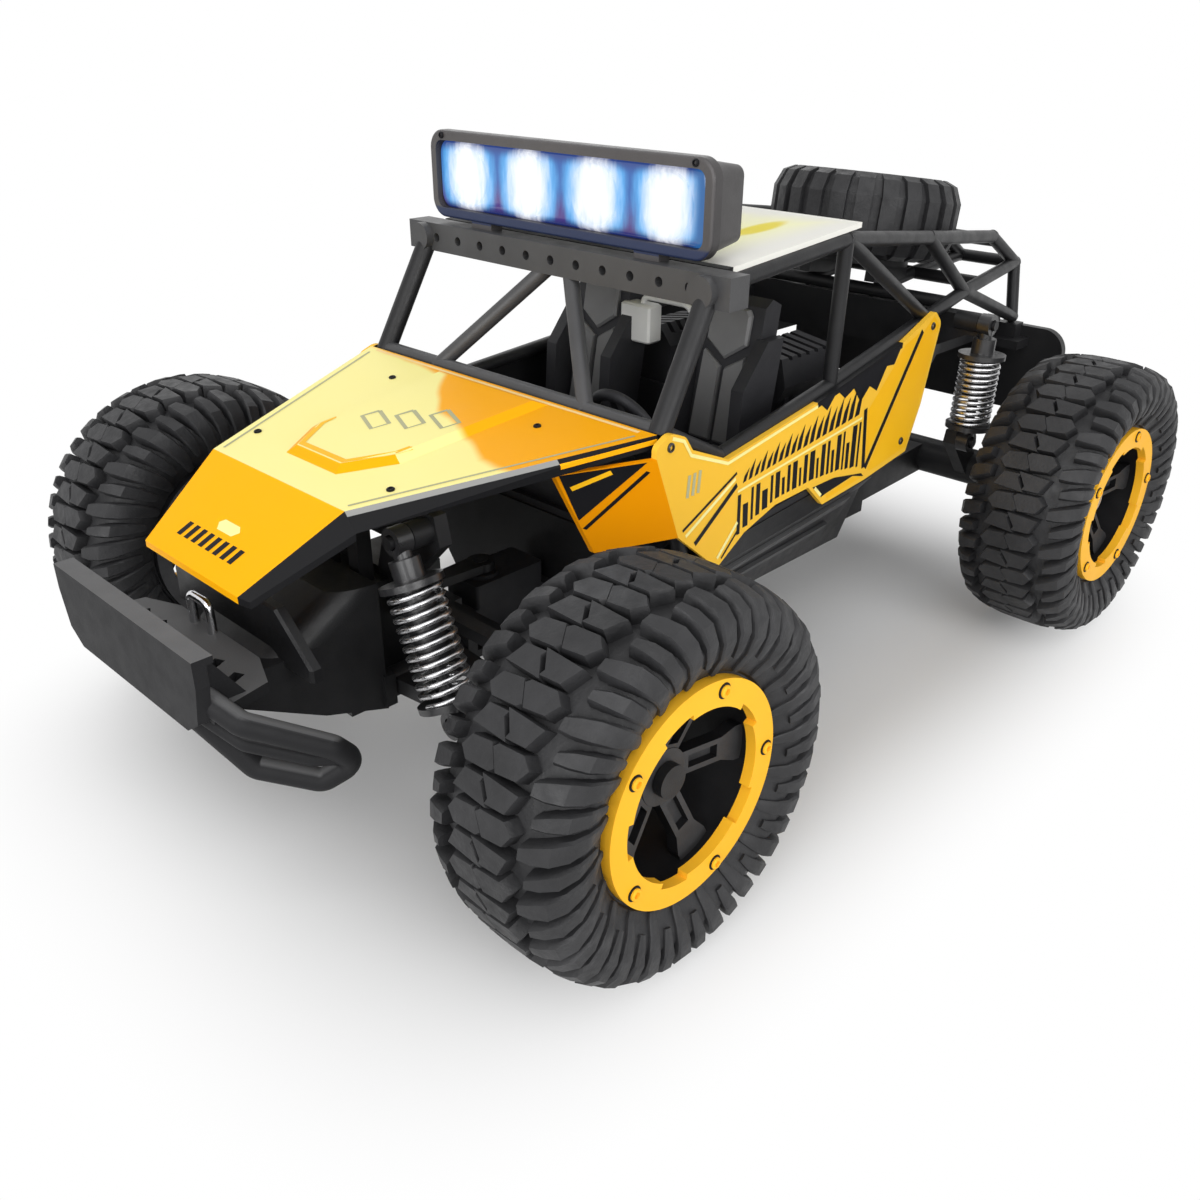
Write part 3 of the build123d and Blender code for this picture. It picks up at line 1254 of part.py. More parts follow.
def rear_bulkhead():
    """Rear frame: two side plates, the shock tower and the rails to the bumper."""
    x0 = rear_shock_top[0] - 5.0
    x1 = tub_rear_x
    side_y = 38.0
    lug_top = trail_pivot_z + 5.0
    plates = both(prism_y([(x1, lug_top), (x1, rim_z), (x0 + 8, 95), (x0, 97.5), (x0, 84), (x0 + 14, 70),
                           (x1 - 4, lug_top + 1)], side_y, side_y - 3))
    top_x, top_z = rear_shock_top
    half = rear_shock_y - shock_eye_width / 2 - side_gap
    bridge = prism_x([(-half, top_z - 4), (-half, top_z + 2), (half, top_z + 2), (half, top_z - 4),
                      (half - 4, top_z - 4.2), (34, 84), (-34, 84), (4 - half, top_z - 4.2)], x0, x0 + 6)
    pins = both(rod_y(top_x, top_z, shock_pin_radius, half - 6, rear_shock_y + shock_eye_width / 2 + 1))
    boss = both(rod_y(top_x, top_z, 3.0, half - 8, half))
    rails = both(block((tail_x + 3, 27, 79), (x0 + 4, 32, 85)))
    return joined([plates, bridge, pins, boss, rails])


def rear_bumper():
    """Upright rear guard with rounded upper corners and a stepped lower edge."""
    half = 57.0
    outline = [(-half, 58), (-half, 83), (half, 83), (half, 58), (40, 52), (-40, 52)]
    plate = prism_x(outline, tail_x, tail_x + 3)
    corners = [edge for edge in plate.edges().filter_by(Axis.X) if edge.center().Z > 80]
    plate = fillet(corners, 8.0)
    shelf = block((tail_x + 1, -44, 76), (tail_x + 12, 44, 79))
    posts = both(block((tail_x + 2, 33.5, 79), (tail_x + 8, 40.5, tail_post_z)))
    return joined([plate, shelf, posts])


# ---------------------------------------------------------------- all nodes
def wheel_nodes():
    clamped = {"rim": rim(), "beadlock_ring": beadlock_ring()}
    casing = tyre()
    nodes = {}
    for end, x, turn in (("front", front_axle_x, front_wheel_turn), ("rear", rear_axle_x, rear_wheel_turn)):
        for hand, side in (("left", 1), ("right", -1)):
            nodes[f"tyre_{end}_{hand}"] = on_wheel(casing, x, side)
            for name, piece in clamped.items():
                nodes[f"{name}_{end}_{hand}"] = on_wheel(Rot(0, 0, turn) * piece, x, side)
    return nodes


def sided(name, shape):
    return {f"{name}_left": shape, f"{name}_right": mirrored(shape)}


def all_nodes():
    nodes = wheel_nodes()
    front_length = shock_length(front_shock_top, front_shock_foot)
    rear_length = shock_length(rear_shock_top, rear_shock_foot)
    nodes.update(shock_set("front", front_shock_place(), front_length))
    nodes.update(shock_set("rear", rear_shock_place(), rear_length))
    nodes.update(sided("lower_arm", lower_arm()))
    nodes.update(sided("upper_link", upper_link()))
    nodes.update(sided("wheel_carrier", wheel_carrier()))
    nodes.update(sided("steering_knuckle", knuckle()))
    nodes.update(sided("cage", cage_side()))
    nodes.update(sided("side_panel", side_panel()))
    makers = (tie_bar, servo_horn, steering_servo, axle_housing, axle_gear, motor_pinion, drive_motor,
              power_switch, chassis_tub, front_bulkhead, rear_bulkhead, windscreen_frame, spare_rack,
              hood, roof_panel, light_housing, light_lens, cockpit_interior, receiver_board, spare_tyre,
              front_bumper, rear_bumper, battery_pack, battery_cover)
    for maker in makers:
        nodes[maker.__name__] = maker()
    return nodes


if __name__ == "__main__":
    for name, shape in all_nodes().items():
        export_step(Compound(children=list(shape.solids())), f"parts/{name}.step")
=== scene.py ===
import json
import math

import bmesh
import bpy
from mathutils import Matrix, Vector
from mathutils.bvhtree import BVHTree


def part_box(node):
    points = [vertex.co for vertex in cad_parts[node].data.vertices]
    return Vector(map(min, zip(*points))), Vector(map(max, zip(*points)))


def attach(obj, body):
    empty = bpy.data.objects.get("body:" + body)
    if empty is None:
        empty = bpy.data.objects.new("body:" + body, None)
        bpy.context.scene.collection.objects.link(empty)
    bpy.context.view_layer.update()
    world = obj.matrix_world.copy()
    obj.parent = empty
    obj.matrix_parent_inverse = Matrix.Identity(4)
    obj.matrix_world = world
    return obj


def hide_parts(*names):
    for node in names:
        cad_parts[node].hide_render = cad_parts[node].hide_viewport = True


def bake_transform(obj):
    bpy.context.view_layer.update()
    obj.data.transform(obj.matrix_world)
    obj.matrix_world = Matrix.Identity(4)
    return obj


# Looks of the buggy: X forward, Y to the buggy's left, Z up. Points are in millimetres, the scene in metres.
MM = 0.001
CORNERS = ("front_left", "front_right", "rear_left", "rear_right")
SIDES = {"left": 1, "right": -1}

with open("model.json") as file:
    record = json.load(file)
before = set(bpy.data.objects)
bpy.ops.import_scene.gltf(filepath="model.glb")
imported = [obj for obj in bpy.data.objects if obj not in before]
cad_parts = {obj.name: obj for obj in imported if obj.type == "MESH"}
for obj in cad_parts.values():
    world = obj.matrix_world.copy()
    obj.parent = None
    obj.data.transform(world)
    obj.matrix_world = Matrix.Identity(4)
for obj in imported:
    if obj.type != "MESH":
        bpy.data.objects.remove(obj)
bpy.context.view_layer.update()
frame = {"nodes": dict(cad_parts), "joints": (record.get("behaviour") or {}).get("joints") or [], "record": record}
nodes = frame["nodes"]
bodies = frame["record"]["behaviour"]["bodies"]
body_of_node = {node: body for body, names in bodies.items() for node in names}


# ---- positions
def low(node):
    return Vector(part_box(node)[0])


def high(node):
    return Vector(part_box(node)[1])


def middle(node):
    return (low(node) + high(node)) / 2


# ---- materials
def new_material(name):
    material = bpy.data.materials.new(name)
    material.use_nodes = True
    tree = material.node_tree
    return material, tree, tree.nodes["Principled BSDF"]


def feed(node, inputs):
    """Sets a node's inputs: sockets are linked, other values are stored."""
    for key, value in inputs.items():
        if isinstance(value, bpy.types.NodeSocket):
            node.id_data.links.new(value, node.inputs[key])
        else:
            node.inputs[key].default_value = value


def add_node(tree, kind, inputs, **settings):
    node = tree.nodes.new(kind)
    for key, value in settings.items():
        setattr(node, key, value)
    feed(node, inputs)
    return node


def tree_of(*values):
    """Node tree of the first socket among the values."""
    return next(value.id_data for value in values if isinstance(value, bpy.types.NodeSocket))


def object_position(tree):
    return add_node(tree, "ShaderNodeTexCoord", {}).outputs["Object"]


def noise(tree, scale, detail=3.0, roughness=0.55):
    """Noise in object space; scale is in features per metre."""
    inputs = {"Vector": object_position(tree), "Scale": scale, "Detail": detail, "Roughness": roughness}
    return add_node(tree, "ShaderNodeTexNoise", inputs).outputs["Fac"]


def spread(value, low_value, high_value):
    """Maps 0.3..0.7 of a noise to the given range."""
    inputs = {"Value": value, "From Min": 0.3, "From Max": 0.7, "To Min": low_value, "To Max": high_value}
    return add_node(value.id_data, "ShaderNodeMapRange", inputs).outputs["Result"]


def blended(factor, first, second):
    """Mix of two colours, each a socket or three numbers."""
    inputs = {"Factor": factor}
    for slot, colour in ((6, first), (7, second)):
        inputs[slot] = colour if isinstance(colour, bpy.types.NodeSocket) else (*colour, 1.0)
    return add_node(tree_of(factor, first, second), "ShaderNodeMix", inputs, data_type="RGBA").outputs[2]


def mottled(tree, first, second, scale, detail=3.0, roughness=0.55):
    """Two colours in soft patches."""
    return blended(spread(noise(tree, scale, detail, roughness), 0.0, 1.0), first, second)


def math_step(kind):
    """A function that adds a Math node of the given kind and returns its output."""
    def step(first, second=0.0):
        inputs = {0: first, 1: second}
        return add_node(tree_of(first, second), "ShaderNodeMath", inputs, operation=kind).outputs["Value"]
    return step


# above and below give 1 or 0; folded runs to and fro between 0 and its second value.
total, difference, product, quotient = map(math_step, ("ADD", "SUBTRACT", "MULTIPLY", "DIVIDE"))
powered, size_of, larger, folded = map(math_step, ("POWER", "ABSOLUTE", "MAXIMUM", "PINGPONG"))
above, below = map(math_step, ("GREATER_THAN", "LESS_THAN"))


def between(value, start, end):
    """1 between start and end, else 0."""
    return product(above(value, start), below(value, end))


def reach(first, second, powers):
    """Sum of two values, each raised to its own power."""
    return total(powered(first, powers[0]), powered(second, powers[1]))


def ramped(value, start, end):
    """Smooth 0..1 step of a value between start and end."""
    inputs = {"Value": value, "From Min": start, "From Max": end}
    node = add_node(value.id_data, "ShaderNodeMapRange", inputs, interpolation_type="SMOOTHSTEP")
    return node.outputs["Result"]


def axes(tree):
    """Object position split into its X, Y and Z sockets, in metres."""
    split = add_node(tree, "ShaderNodeSeparateXYZ", {"Vector": object_position(tree)})
    return [split.outputs[key] for key in "XYZ"]


def normal_axes(tree):
    """Surface direction in object space, split into its X, Y and Z sockets."""
    normal = add_node(tree, "ShaderNodeTexCoord", {}).outputs["Normal"]
    split = add_node(tree, "ShaderNodeSeparateXYZ", {"Vector": normal})
    return [split.outputs[key] for key in "XYZ"]


def side_of(values, point, slope):
    """Positive on one side of the line through point with the given run and rise, in millimetres."""
    first = product(difference(values[0], point[0] * MM), slope[1])
    second = product(difference(values[1], point[1] * MM), slope[0])
    return difference(first, second)


def bumped(shader, height, depth):
    inputs = {"Height": height, "Distance": depth, "Strength": 1.0}
    feed(shader, {"Normal": add_node(height.id_data, "ShaderNodeBump", inputs).outputs["Normal"]})


# Scales are in features per metre, depths in metres.
SHEEN_SCALE, GRAIN_SCALE, GRAIN_DEPTH = 210, 2600, 0.00004
FILM_SCALE, PEEL_SCALE, PEEL_DEPTH = 90, 700, 0.00001


def grained(shader, colour, rough, specular, change=0.07):
    """Moulded plastic of a colour: fine grain and small changes of sheen."""
    tree = shader.id_data
    sheen = spread(noise(tree, SHEEN_SCALE, 5.0), rough - change, rough + change)
    feed(shader, {"Base Color": colour, "Roughness": sheen, "Specular IOR Level": specular})
    bumped(shader, noise(tree, GRAIN_SCALE, 2.0), GRAIN_DEPTH)


def film(shader, colour, rough):
    """Printed film of a colour: faint orange peel and little sheen."""
    tree = shader.id_data
    sheen = spread(noise(tree, FILM_SCALE), rough - 0.05, rough + 0.05)
    feed(shader, {"Base Color": colour, "Roughness": sheen, "Specular IOR Level": 0.08})
    bumped(shader, noise(tree, PEEL_SCALE, 2.0), PEEL_DEPTH)


def moulded(name, dark, light, rough, coat=0.0, specular=0.5):
    """Injection-moulded plastic: fine grain, slight tone and sheen changes."""
    material, tree, shader = new_material(name)
    feed(shader, {"Coat Weight": coat, "Coat Roughness": 0.12})
    grained(shader, mottled(tree, dark, light, 38, 4.0), rough, specular)
    return material


def rim_plastic(barrel, face):
    """Black plastic with a painted highlight: a little paler, in patches, on the faces that look out of the wheel.
    """
    material, tree, shader = new_material("rim_plastic")
    outward = ramped(size_of(normal_axes(tree)[1]), 0.80, 0.96)
    # Painted highlight: the faces that look out of the wheel blend, in noisy patches, towards the paler colour.
    painted_spoke_highlight = product(outward, spread(noise(tree, 180, 3.0), 0.6, 1.0))
    grained(shader, blended(painted_spoke_highlight, barrel, face), 0.46, 0.25)
    return material


def rubber(dark, light):
    """Tyre rubber: dusty tone in patches and a soft mottled surface."""
    material, tree, shader = new_material("tyre_rubber")
    sheen = spread(noise(tree, 320, 4.0), 0.42, 0.66)
    feed(shader, {"Base Color": mottled(tree, dark, light, 60, 6.0, 0.65), "Roughness": sheen,
                  "Specular IOR Level": 0.34})
    bumped(shader, noise(tree, 900, 4.0), 0.00012)
    return material


def metal(name, colour, rough):
    """Bare metal with fine streaks in its sheen."""
    material, tree, shader = new_material(name)
    inputs = {"Vector": object_position(tree), "Scale": 900, "Distortion": 3.0, "Detail": 2.0}
    streak = add_node(tree, "ShaderNodeTexWave", inputs).outputs["Fac"]
    shade = tuple(channel * 0.8 for channel in colour)
    feed(shader, {"Base Color": mottled(tree, shade, colour, 150), "Metallic": 1.0,
                  "Roughness": spread(streak, rough - 0.06, rough + 0.08)})
    return material


def printed_film(name, first, second, rough=0.45):
    """Plain printed film of one ink."""
    material, tree, shader = new_material(name)
    film(shader, mottled(tree, first, second, 22, 2.0), rough)
    return material


# Lines and limits of the prints and of the hood's painted reflections: points of lines in millimetres, limits and
# patches in metres.
INK_BLACK = (0.012, 0.012, 0.013)
PANEL_FOLD = ((50.6, 70.1), (9.7, 22.6))
PANEL_EDGE, PANEL_FALL = (-12.3, 88.4), 0.1373
BELT_ENDS = (-0.0625, -0.0128)
HOOD_REAR, HOOD_FALL = (57.6, 97.3), 0.1109
HOOD_CREASE, REFLECTION_START = 0.1234, 0.080
REFLECTION_DEPTH, STRIPE_BAND = 0.0010, (0.0009, 0.0021)
AMBER_ENDS = ((-40, 58), (-15, 63), (3, 80), (13, 83.5), (21, 85), (31, 91))
ROOF_EDGE = 0.0285
PATCH_CENTRE, PATCH_HALF = (-0.009, 0.030), (0.011, 0.0035)
LIP_FADE, LIP_DEPTH = 0.0010, 0.0036


def side_print(sheet_colour, facet_colour, rear_colour):
    """Side panel print: the sheet, the facet in front of the fold, the belt's top edge and black inside."""
    material, tree, shader = new_material("side_print")
    x, y, z = axes(tree)
    sheet = blended(spread(noise(tree, 22, 2.0), 0.0, 0.25), sheet_colour, rear_colour)
    facet = above(side_of((x, z), *PANEL_FOLD), 0.0)
    level = (PANEL_EDGE[1] + PANEL_EDGE[0] * PANEL_FALL) * MM
    top = difference(level, product(x, PANEL_FALL))
    near_top = above(z, difference(top, 0.0016))
    belt = product(near_top, between(x, *BELT_ENDS))
    outside = blended(belt, blended(facet, sheet, facet_colour), INK_BLACK)
    inside = below(product(normal_axes(tree)[1], y), -0.004)
    film(shader, blended(inside, outside, INK_BLACK), 0.45)
    return material


def flank_print(x, z, rim, stripe, dark):
    """Flank of the hood: a pale grey line along its top edge ahead, which is a painted reflection, an amber stripe
    behind, black below.
    """
    fall = product(difference(x, HOOD_REAR[0] * MM), HOOD_FALL)
    depth = difference(difference(HOOD_REAR[1] * MM, fall), z)
    # Painted reflection: a pale grey line along the top of the flank, ahead of the stripe.
    on_edge_reflection = product(between(x, REFLECTION_START, HOOD_CREASE), below(depth, REFLECTION_DEPTH))
    on_stripe = product(between(depth, *STRIPE_BAND), below(x, REFLECTION_START))
    return blended(on_edge_reflection, blended(on_stripe, dark, stripe), rim)


def amber_limit(tree, y):
    """How far forward the hood's amber reaches at y: a curve through AMBER_ENDS, as (y, x) in mm. Ahead of it is
    the pale area, partly print and partly a painted reflection.
    """
    across = add_node(tree, "ShaderNodeMapRange", {"Value": y, "From Min": -0.040, "From Max": 0.040})
    curve = add_node(tree, "ShaderNodeValToRGB", {"Fac": across.outputs["Result"]})
    ramp = curve.color_ramp
    while len(ramp.elements) < len(AMBER_ENDS):
        ramp.elements.new(0.5)
    for element, (place, limit) in zip(ramp.elements, AMBER_ENDS):
        element.position = (place + 40) / 80
        element.color = (*[limit / 100] * 3, 1.0)
    wobble = spread(noise(tree, 60, 1.0), -0.001, 0.001)
    return total(product(curve.outputs["Color"], 0.1), wobble)


def hood_print_and_reflection(pale, amber, nose, rim):
    """Hood print with a painted reflection: pale top, partly print and partly a painted reflection, amber at the
    rear, amber nose, black flanks.
    """
    material, tree, shader = new_material("hood_print_and_reflection")
    x, y, z = axes(tree)
    normal_x, normal_y, _ = normal_axes(tree)
    # The pale area ahead of the amber is partly print and partly a painted reflection.
    behind = difference(amber_limit(tree, y), x)
    top = blended(ramped(behind, -0.0012, 0.0018), pale, amber)
    on_nose = above(x, HOOD_CREASE)
    top = blended(on_nose, top, nose)
    raised_front = product(above(normal_x, 0.26), below(x, 0.1195))
    top = blended(raised_front, top, amber)
    steep = above(size_of(normal_y), 0.30)
    outer = above(size_of(y), 0.0245)
    side = product(steep, larger(outer, on_nose))
    flank = flank_print(x, z, rim, amber, (0.010, 0.010, 0.011))
    film(shader, blended(side, top, flank), 0.42)
    return material


def roof_print(pale, white, patch):
    """Roof print: pale yellow ahead, chalky white behind, one deeper patch, black front edge."""
    material, tree, shader = new_material("roof_print")
    x, y, _ = axes(tree)
    half_y = size_of(y)
    wobble = spread(noise(tree, 40, 2.0), -0.006, 0.006)
    rear = ramped(total(x, wobble), -0.008, -0.030)
    side = ramped(half_y, 0.030, 0.046)
    colour = blended(larger(rear, side), pale, white)
    away = [quotient(difference(value, centre), half)
            for value, centre, half in zip((x, half_y), PATCH_CENTRE, PATCH_HALF)]
    on_patch = ramped(reach(*away, (2.0, 2.0)), 1.5, 0.4)
    colour = blended(on_patch, colour, patch)
    film(shader, blended(above(x, ROOF_EDGE), colour, INK_BLACK), 0.50)
    return material


def lamp_plastic(dark, light, lip_top):
    """Grey housing; the lip under the lamps is dark blue, and the sides carry painted shade: a darker copy of the
    grey.
    """
    material, tree, shader = new_material("lamp_plastic")
    _, _, z = axes(tree)
    forward = above(normal_axes(tree)[0], 0.6)
    lip = product(forward, ramped(z, lip_top, lip_top - LIP_FADE))
    lip = product(lip, above(z, lip_top - LIP_DEPTH))
    # Painted shade: faces that do not look forward get the grey at 0.62 of its brightness.
    shade = tuple(channel * 0.62 for channel in dark)
    sides = mottled(tree, shade, dark, 38, 4.0)
    colour = blended(forward, sides, mottled(tree, dark, light, 38, 4.0))
    grained(shader, blended(lip, colour, (0.014, 0.024, 0.070)), 0.40, 0.4)
    return material


def bumper_plastic(plate, lip):
    """Matt black plate with a painted highlight: its faces that look up are paler."""
    material, tree, shader = new_material("bumper_plastic")
    # Painted highlight: faces that look up blend to the paler second colour.
    upward = ramped(normal_axes(tree)[2], 0.62, 0.85)
    tone = mottled(tree, plate, tuple(channel * 1.2 for channel in plate), 38, 4.0)
    grained(shader, blended(upward, tone, lip), 0.57, 0.16, 0.05)
    return material


def lamp_places():
    """Height of the lamps' centres and the pitch between them, in millimetres."""
    low_corner, high_corner = low("light_lens") / MM, high("light_lens") / MM
    return (low_corner.z + high_corner.z) / 2, (high_corner.y - low_corner.y) / 4


# Half width and half height of a lamp's glow in millimetres, and the colours of the lit field.
GLOW_HALF = (8.8, 9.2)
LAMP_WHITE, LAMP_HALO = (1.0, 1.0, 1.0), (0.10, 0.42, 0.85)
GAP_BLUE, GAP_VIOLET = (0.02, 0.11, 0.38), (0.060, 0.025, 0.20)
NAVY_ABOVE, NAVY_BELOW, END_BLUE = (0.02, 0.05, 0.22), (0.006, 0.016, 0.12), (0.012, 0.11, 0.32)


def streaked(tree):
    """Fine noise drawn out upwards, for the ragged edge of the glow."""
    stretch = {"Vector": object_position(tree), "Scale": (1.0, 1.0, 0.22)}
    position = add_node(tree, "ShaderNodeMapping", stretch).outputs["Vector"]
    inputs = {"Vector": position, "Scale": 650, "Detail": 3.0}
    return spread(add_node(tree, "ShaderNodeTexNoise", inputs).outputs["Fac"], -0.16, 0.16)


def lamp_glow():
    """Lit lamp field: a white glow on each lamp, blue between, navy above, below and at the left end."""
    material, tree, shader = new_material("lamp_glow")
    _, y, z = axes(tree)
    middle_z, pitch = lamp_places()
    rise = difference(z, middle_z * MM)
    wave = folded(y, pitch / 2 * MM)
    away_y = quotient(difference(pitch / 2 * MM, wave), GLOW_HALF[0] * MM)
    away_z = quotient(rise, GLOW_HALF[1] * MM)
    edge = total(reach(away_y, away_z, (2.0, 4.0)), streaked(tree))
    gap = blended(ramped(rise, 0.0010, -0.0050), GAP_BLUE, GAP_VIOLET)
    field = blended(ramped(edge, 2.0, 0.8), gap, LAMP_HALO)
    field = blended(ramped(rise, 0.0055, 0.0085), field, NAVY_ABOVE)
    field = blended(ramped(rise, -0.0062, -0.0086), field, NAVY_BELOW)
    light = blended(ramped(edge, 1.25, -0.10), field, LAMP_WHITE)
    end = high("light_lens").y
    light = blended(ramped(y, end - 0.0060, end - 0.0015), light, END_BLUE)
    feed(shader, {"Emission Color": light, "Emission Strength": 1.0,
                  "Base Color": blended(0.92, light, (0.02, 0.02, 0.03)),
                  "Roughness": spread(noise(tree, 300), 0.08, 0.16)})
    return material


materials = {
    "frame": moulded("frame_plastic", (0.008, 0.008, 0.009), (0.016, 0.016, 0.017), 0.42, specular=0.28),
    "matt": moulded("interior_plastic", (0.012, 0.012, 0.014), (0.024, 0.024, 0.027), 0.55, specular=0.3),
    # The rim's second colour is the painted highlight on the faces that look out of the wheel.
    "rim": rim_plastic((0.008, 0.008, 0.009), (0.050, 0.050, 0.052)),
    "tyre": rubber((0.012, 0.012, 0.013), (0.030, 0.030, 0.032)),
    "ring": printed_film("ring_yellow", (0.97, 0.48, 0.022), (1.0, 0.54, 0.035), 0.40),
    # The hood's pale yellow is partly print and partly a painted reflection; its last colour, a grey, is a painted
    # reflection along the top edge of the flanks.
    "hood": hood_print_and_reflection((1.0, 0.90, 0.34), (1.0, 0.43, 0.004), (1.0, 0.45, 0.003), (0.30, 0.30, 0.29)),
    "amber": printed_film("amber_print", (0.98, 0.50, 0.01), (1.0, 0.56, 0.02)),
    "yellow": side_print((0.98, 0.57, 0.050), (0.86, 0.31, 0.001), (0.98, 0.53, 0.03)),
    "pale": printed_film("pale_print", (1.0, 0.88, 0.30), (1.0, 0.92, 0.38)),
    "black": printed_film("black_print", (0.008, 0.008, 0.010), (0.015, 0.015, 0.017), 0.50),
    "white": roof_print((0.98, 0.97, 0.58), (0.87, 0.86, 0.80), (0.86, 0.72, 0.06)),
    "lamp": lamp_plastic((0.060, 0.056, 0.057), (0.082, 0.077, 0.078), low("light_lens").z + 0.0006),
    # The bumper's second colour is the painted highlight on its faces that look up.
    "bumper": bumper_plastic((0.013, 0.013, 0.014), (0.105, 0.105, 0.107)),
    "shock": moulded("shock_plastic", (0.014, 0.014, 0.015), (0.026, 0.026, 0.028), 0.34, coat=0.2),
    "pillar": moulded("pillar_plastic", (0.034, 0.034, 0.036), (0.056, 0.056, 0.058), 0.48),
    "pad": moulded("seat_pad", (0.110, 0.110, 0.112), (0.150, 0.150, 0.152), 0.62),
    "alloy": moulded("pale_plastic", (0.55, 0.55, 0.54), (0.68, 0.68, 0.66), 0.40),
    "steel": metal("spring_steel", (0.56, 0.56, 0.57), 0.30),
    "bright": metal("plated_steel", (0.82, 0.82, 0.84), 0.16),
    # Pale peach for the painted highlight along the hood's cowl edge.
    "peach": printed_film("cowl_highlight_film", (1.0, 0.70, 0.30), (1.0, 0.76, 0.36)),
    # Grey ink for the emblem and the panel's bars, also used for the painted reflections along the hood's side
    # edges.
    "mark": printed_film("grey_print_and_edge_reflection", (0.42, 0.41, 0.24), (0.50, 0.48, 0.28)),
    "brass": metal("pinion_brass", (0.75, 0.52, 0.22), 0.3),
    "glow": lamp_glow(),
    "board": moulded("board_green", (0.01, 0.10, 0.03), (0.015, 0.15, 0.05), 0.35, coat=0.4),
    "sleeve": printed_film("battery_sleeve", (0.02, 0.09, 0.32), (0.03, 0.12, 0.40), 0.25),
}


# ---- mesh helpers
def mesh_piece(name, shape, key, node=None, smooth=0.0, closed=True):
    """A piece from vertices in millimetres and faces; it rides on the body of a node if one is named."""
    vertices, faces = shape
    mesh = bpy.data.meshes.new(name)
    mesh.from_pydata([Vector(v) * MM for v in vertices], [], faces)
    mesh.validate()
    if closed:
        turn_outwards(mesh)
    if smooth:
        mesh.shade_smooth()
        mesh.set_sharp_from_angle(angle=math.radians(smooth))
    piece = bpy.data.objects.new(name, mesh)
    bpy.context.scene.collection.objects.link(piece)
    mesh.materials.append(materials[key])
    if node:
        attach(piece, body_of_node[node])
    return piece


def turn_outwards(mesh):
    work = bmesh.new()
    work.from_mesh(mesh)
    bmesh.ops.recalc_face_normals(work, faces=work.faces)
    work.to_mesh(mesh)
    work.free()


def bevel(piece, width):
    modifier = piece.modifiers.new("edges", "BEVEL")
    modifier.width = width * MM
    modifier.segments = 2
    modifier.limit_method = "ANGLE"
    modifier.angle_limit = math.radians(35)
    modifier.harden_normals = False


def quads(first, second, count):
    """Faces between two rings of count points, which start at the indices first and second."""
    return [(first + i, first + (i + 1) % count, second + (i + 1) % count, second + i) for i in range(count)]


def loft_rings(rings):
    """Vertices and faces of a closed skin over rings of equal length."""
    count = len(rings[0])
    vertices = [point for ring in rings for point in ring]
    faces = [quad for k in range(len(rings) - 1) for quad in quads(k * count, (k + 1) * count, count)]
    faces.append(tuple(range(count))[::-1])
    faces.append(tuple((len(rings) - 1) * count + i for i in range(count)))
    return vertices, faces


def spun(radius, angle, height):
    """Point at a radius and angle round Z."""
    return Vector((radius * math.cos(angle), radius * math.sin(angle), height))


def lathe(profile, place, steps):
    """Skin turned from (radius, height) pairs round place's Z axis."""
    angles = [2 * math.pi * k / steps for k in range(steps)]
    return loft_rings([[place @ spun(r, angle, h) for angle in angles] for r, h in profile])


def merged(parts):
    vertices, faces = [], []
    for part_vertices, part_faces in parts:
        base = len(vertices)
        vertices += part_vertices
        faces += [tuple(base + i for i in face) for face in part_faces]
    return vertices, faces


def placed(origin, direction):
    """Matrix that puts local Z along direction at origin, in millimetres."""
    turn = Vector(direction).to_track_quat("Z", "Y")
    return Matrix.Translation(Vector(origin)) @ turn.to_matrix().to_4x4()


# ---- tyres
# Tyre sizes in millimetres; CROWN is the casing's radius under the blocks.
TYRE_RADIUS = (high("tyre_front_left").z - low("tyre_front_left").z) / 2 / MM
TYRE_HALF = (high("tyre_front_left").y - low("tyre_front_left").y) / 2 / MM
CROWN = TYRE_RADIUS - 3.3


def casing_line():
    """Half section of the casing, from the crown's middle to the bead."""
    half = TYRE_HALF - 1.2
    return [(CROWN, 0.0), (CROWN - 0.1, 6.0), (CROWN - 0.7, 11.0), (CROWN - 2.0, half - 2.8),
            (CROWN - 4.2, half - 0.9), (CROWN - 7.2, half), (CROWN - 10.2, half - 0.7),
            (CROWN - 13.0, half - 2.3), (CROWN - 14.8, half - 3.2), (25.6, 13.2)]


class Surface:
    """Tyre surface addressed by distance from the crown and along the tread."""

    def __init__(self, line):
        self.line = [Vector(point) for point in line]
        self.reach = [0.0]
        for a, b in zip(self.line, self.line[1:]):
            self.reach.append(self.reach[-1] + (b - a).length)

    def section(self, s):
        """Point and outward normal of the half section at distance s >= 0."""
        last = len(self.reach) - 2
        k = next((i for i in range(last + 1) if s <= self.reach[i + 1]), last)
        share = (s - self.reach[k]) / (self.reach[k + 1] - self.reach[k])
        point = self.line[k].lerp(self.line[k + 1], share)
        return point, self.normal(k, share)

    def normal(self, k, share):
        """Outward normal at a share of the way from point k to the next."""
        return self.normal_at(max(k, 1)).lerp(self.normal_at(k + 1), share).normalized()

    def normal_at(self, index):
        before = self.line[max(index - 1, 0)]
        after = self.line[min(index + 1, len(self.line) - 1)]
        run = after - before
        return Vector((run.y, -run.x)).normalized()

    def point(self, s, t, lift):
        """Local 3-D point; the axle is Z, t runs round the tread in mm at the crown."""
        section, normal = self.section(abs(s))
        radius = section.x + normal.x * lift
        side = (section.y + normal.y * lift) * (1 if s >= 0 else -1)
        return spun(radius, t / CROWN, side)


def lug_height(s):
    """Full height on the tread, low on the sidewall."""
    shoulder, fall, least = 15.5, 0.42, 0.8
    return max(least, TYRE_RADIUS - CROWN - max(s - shoulder, 0.0) * fall)


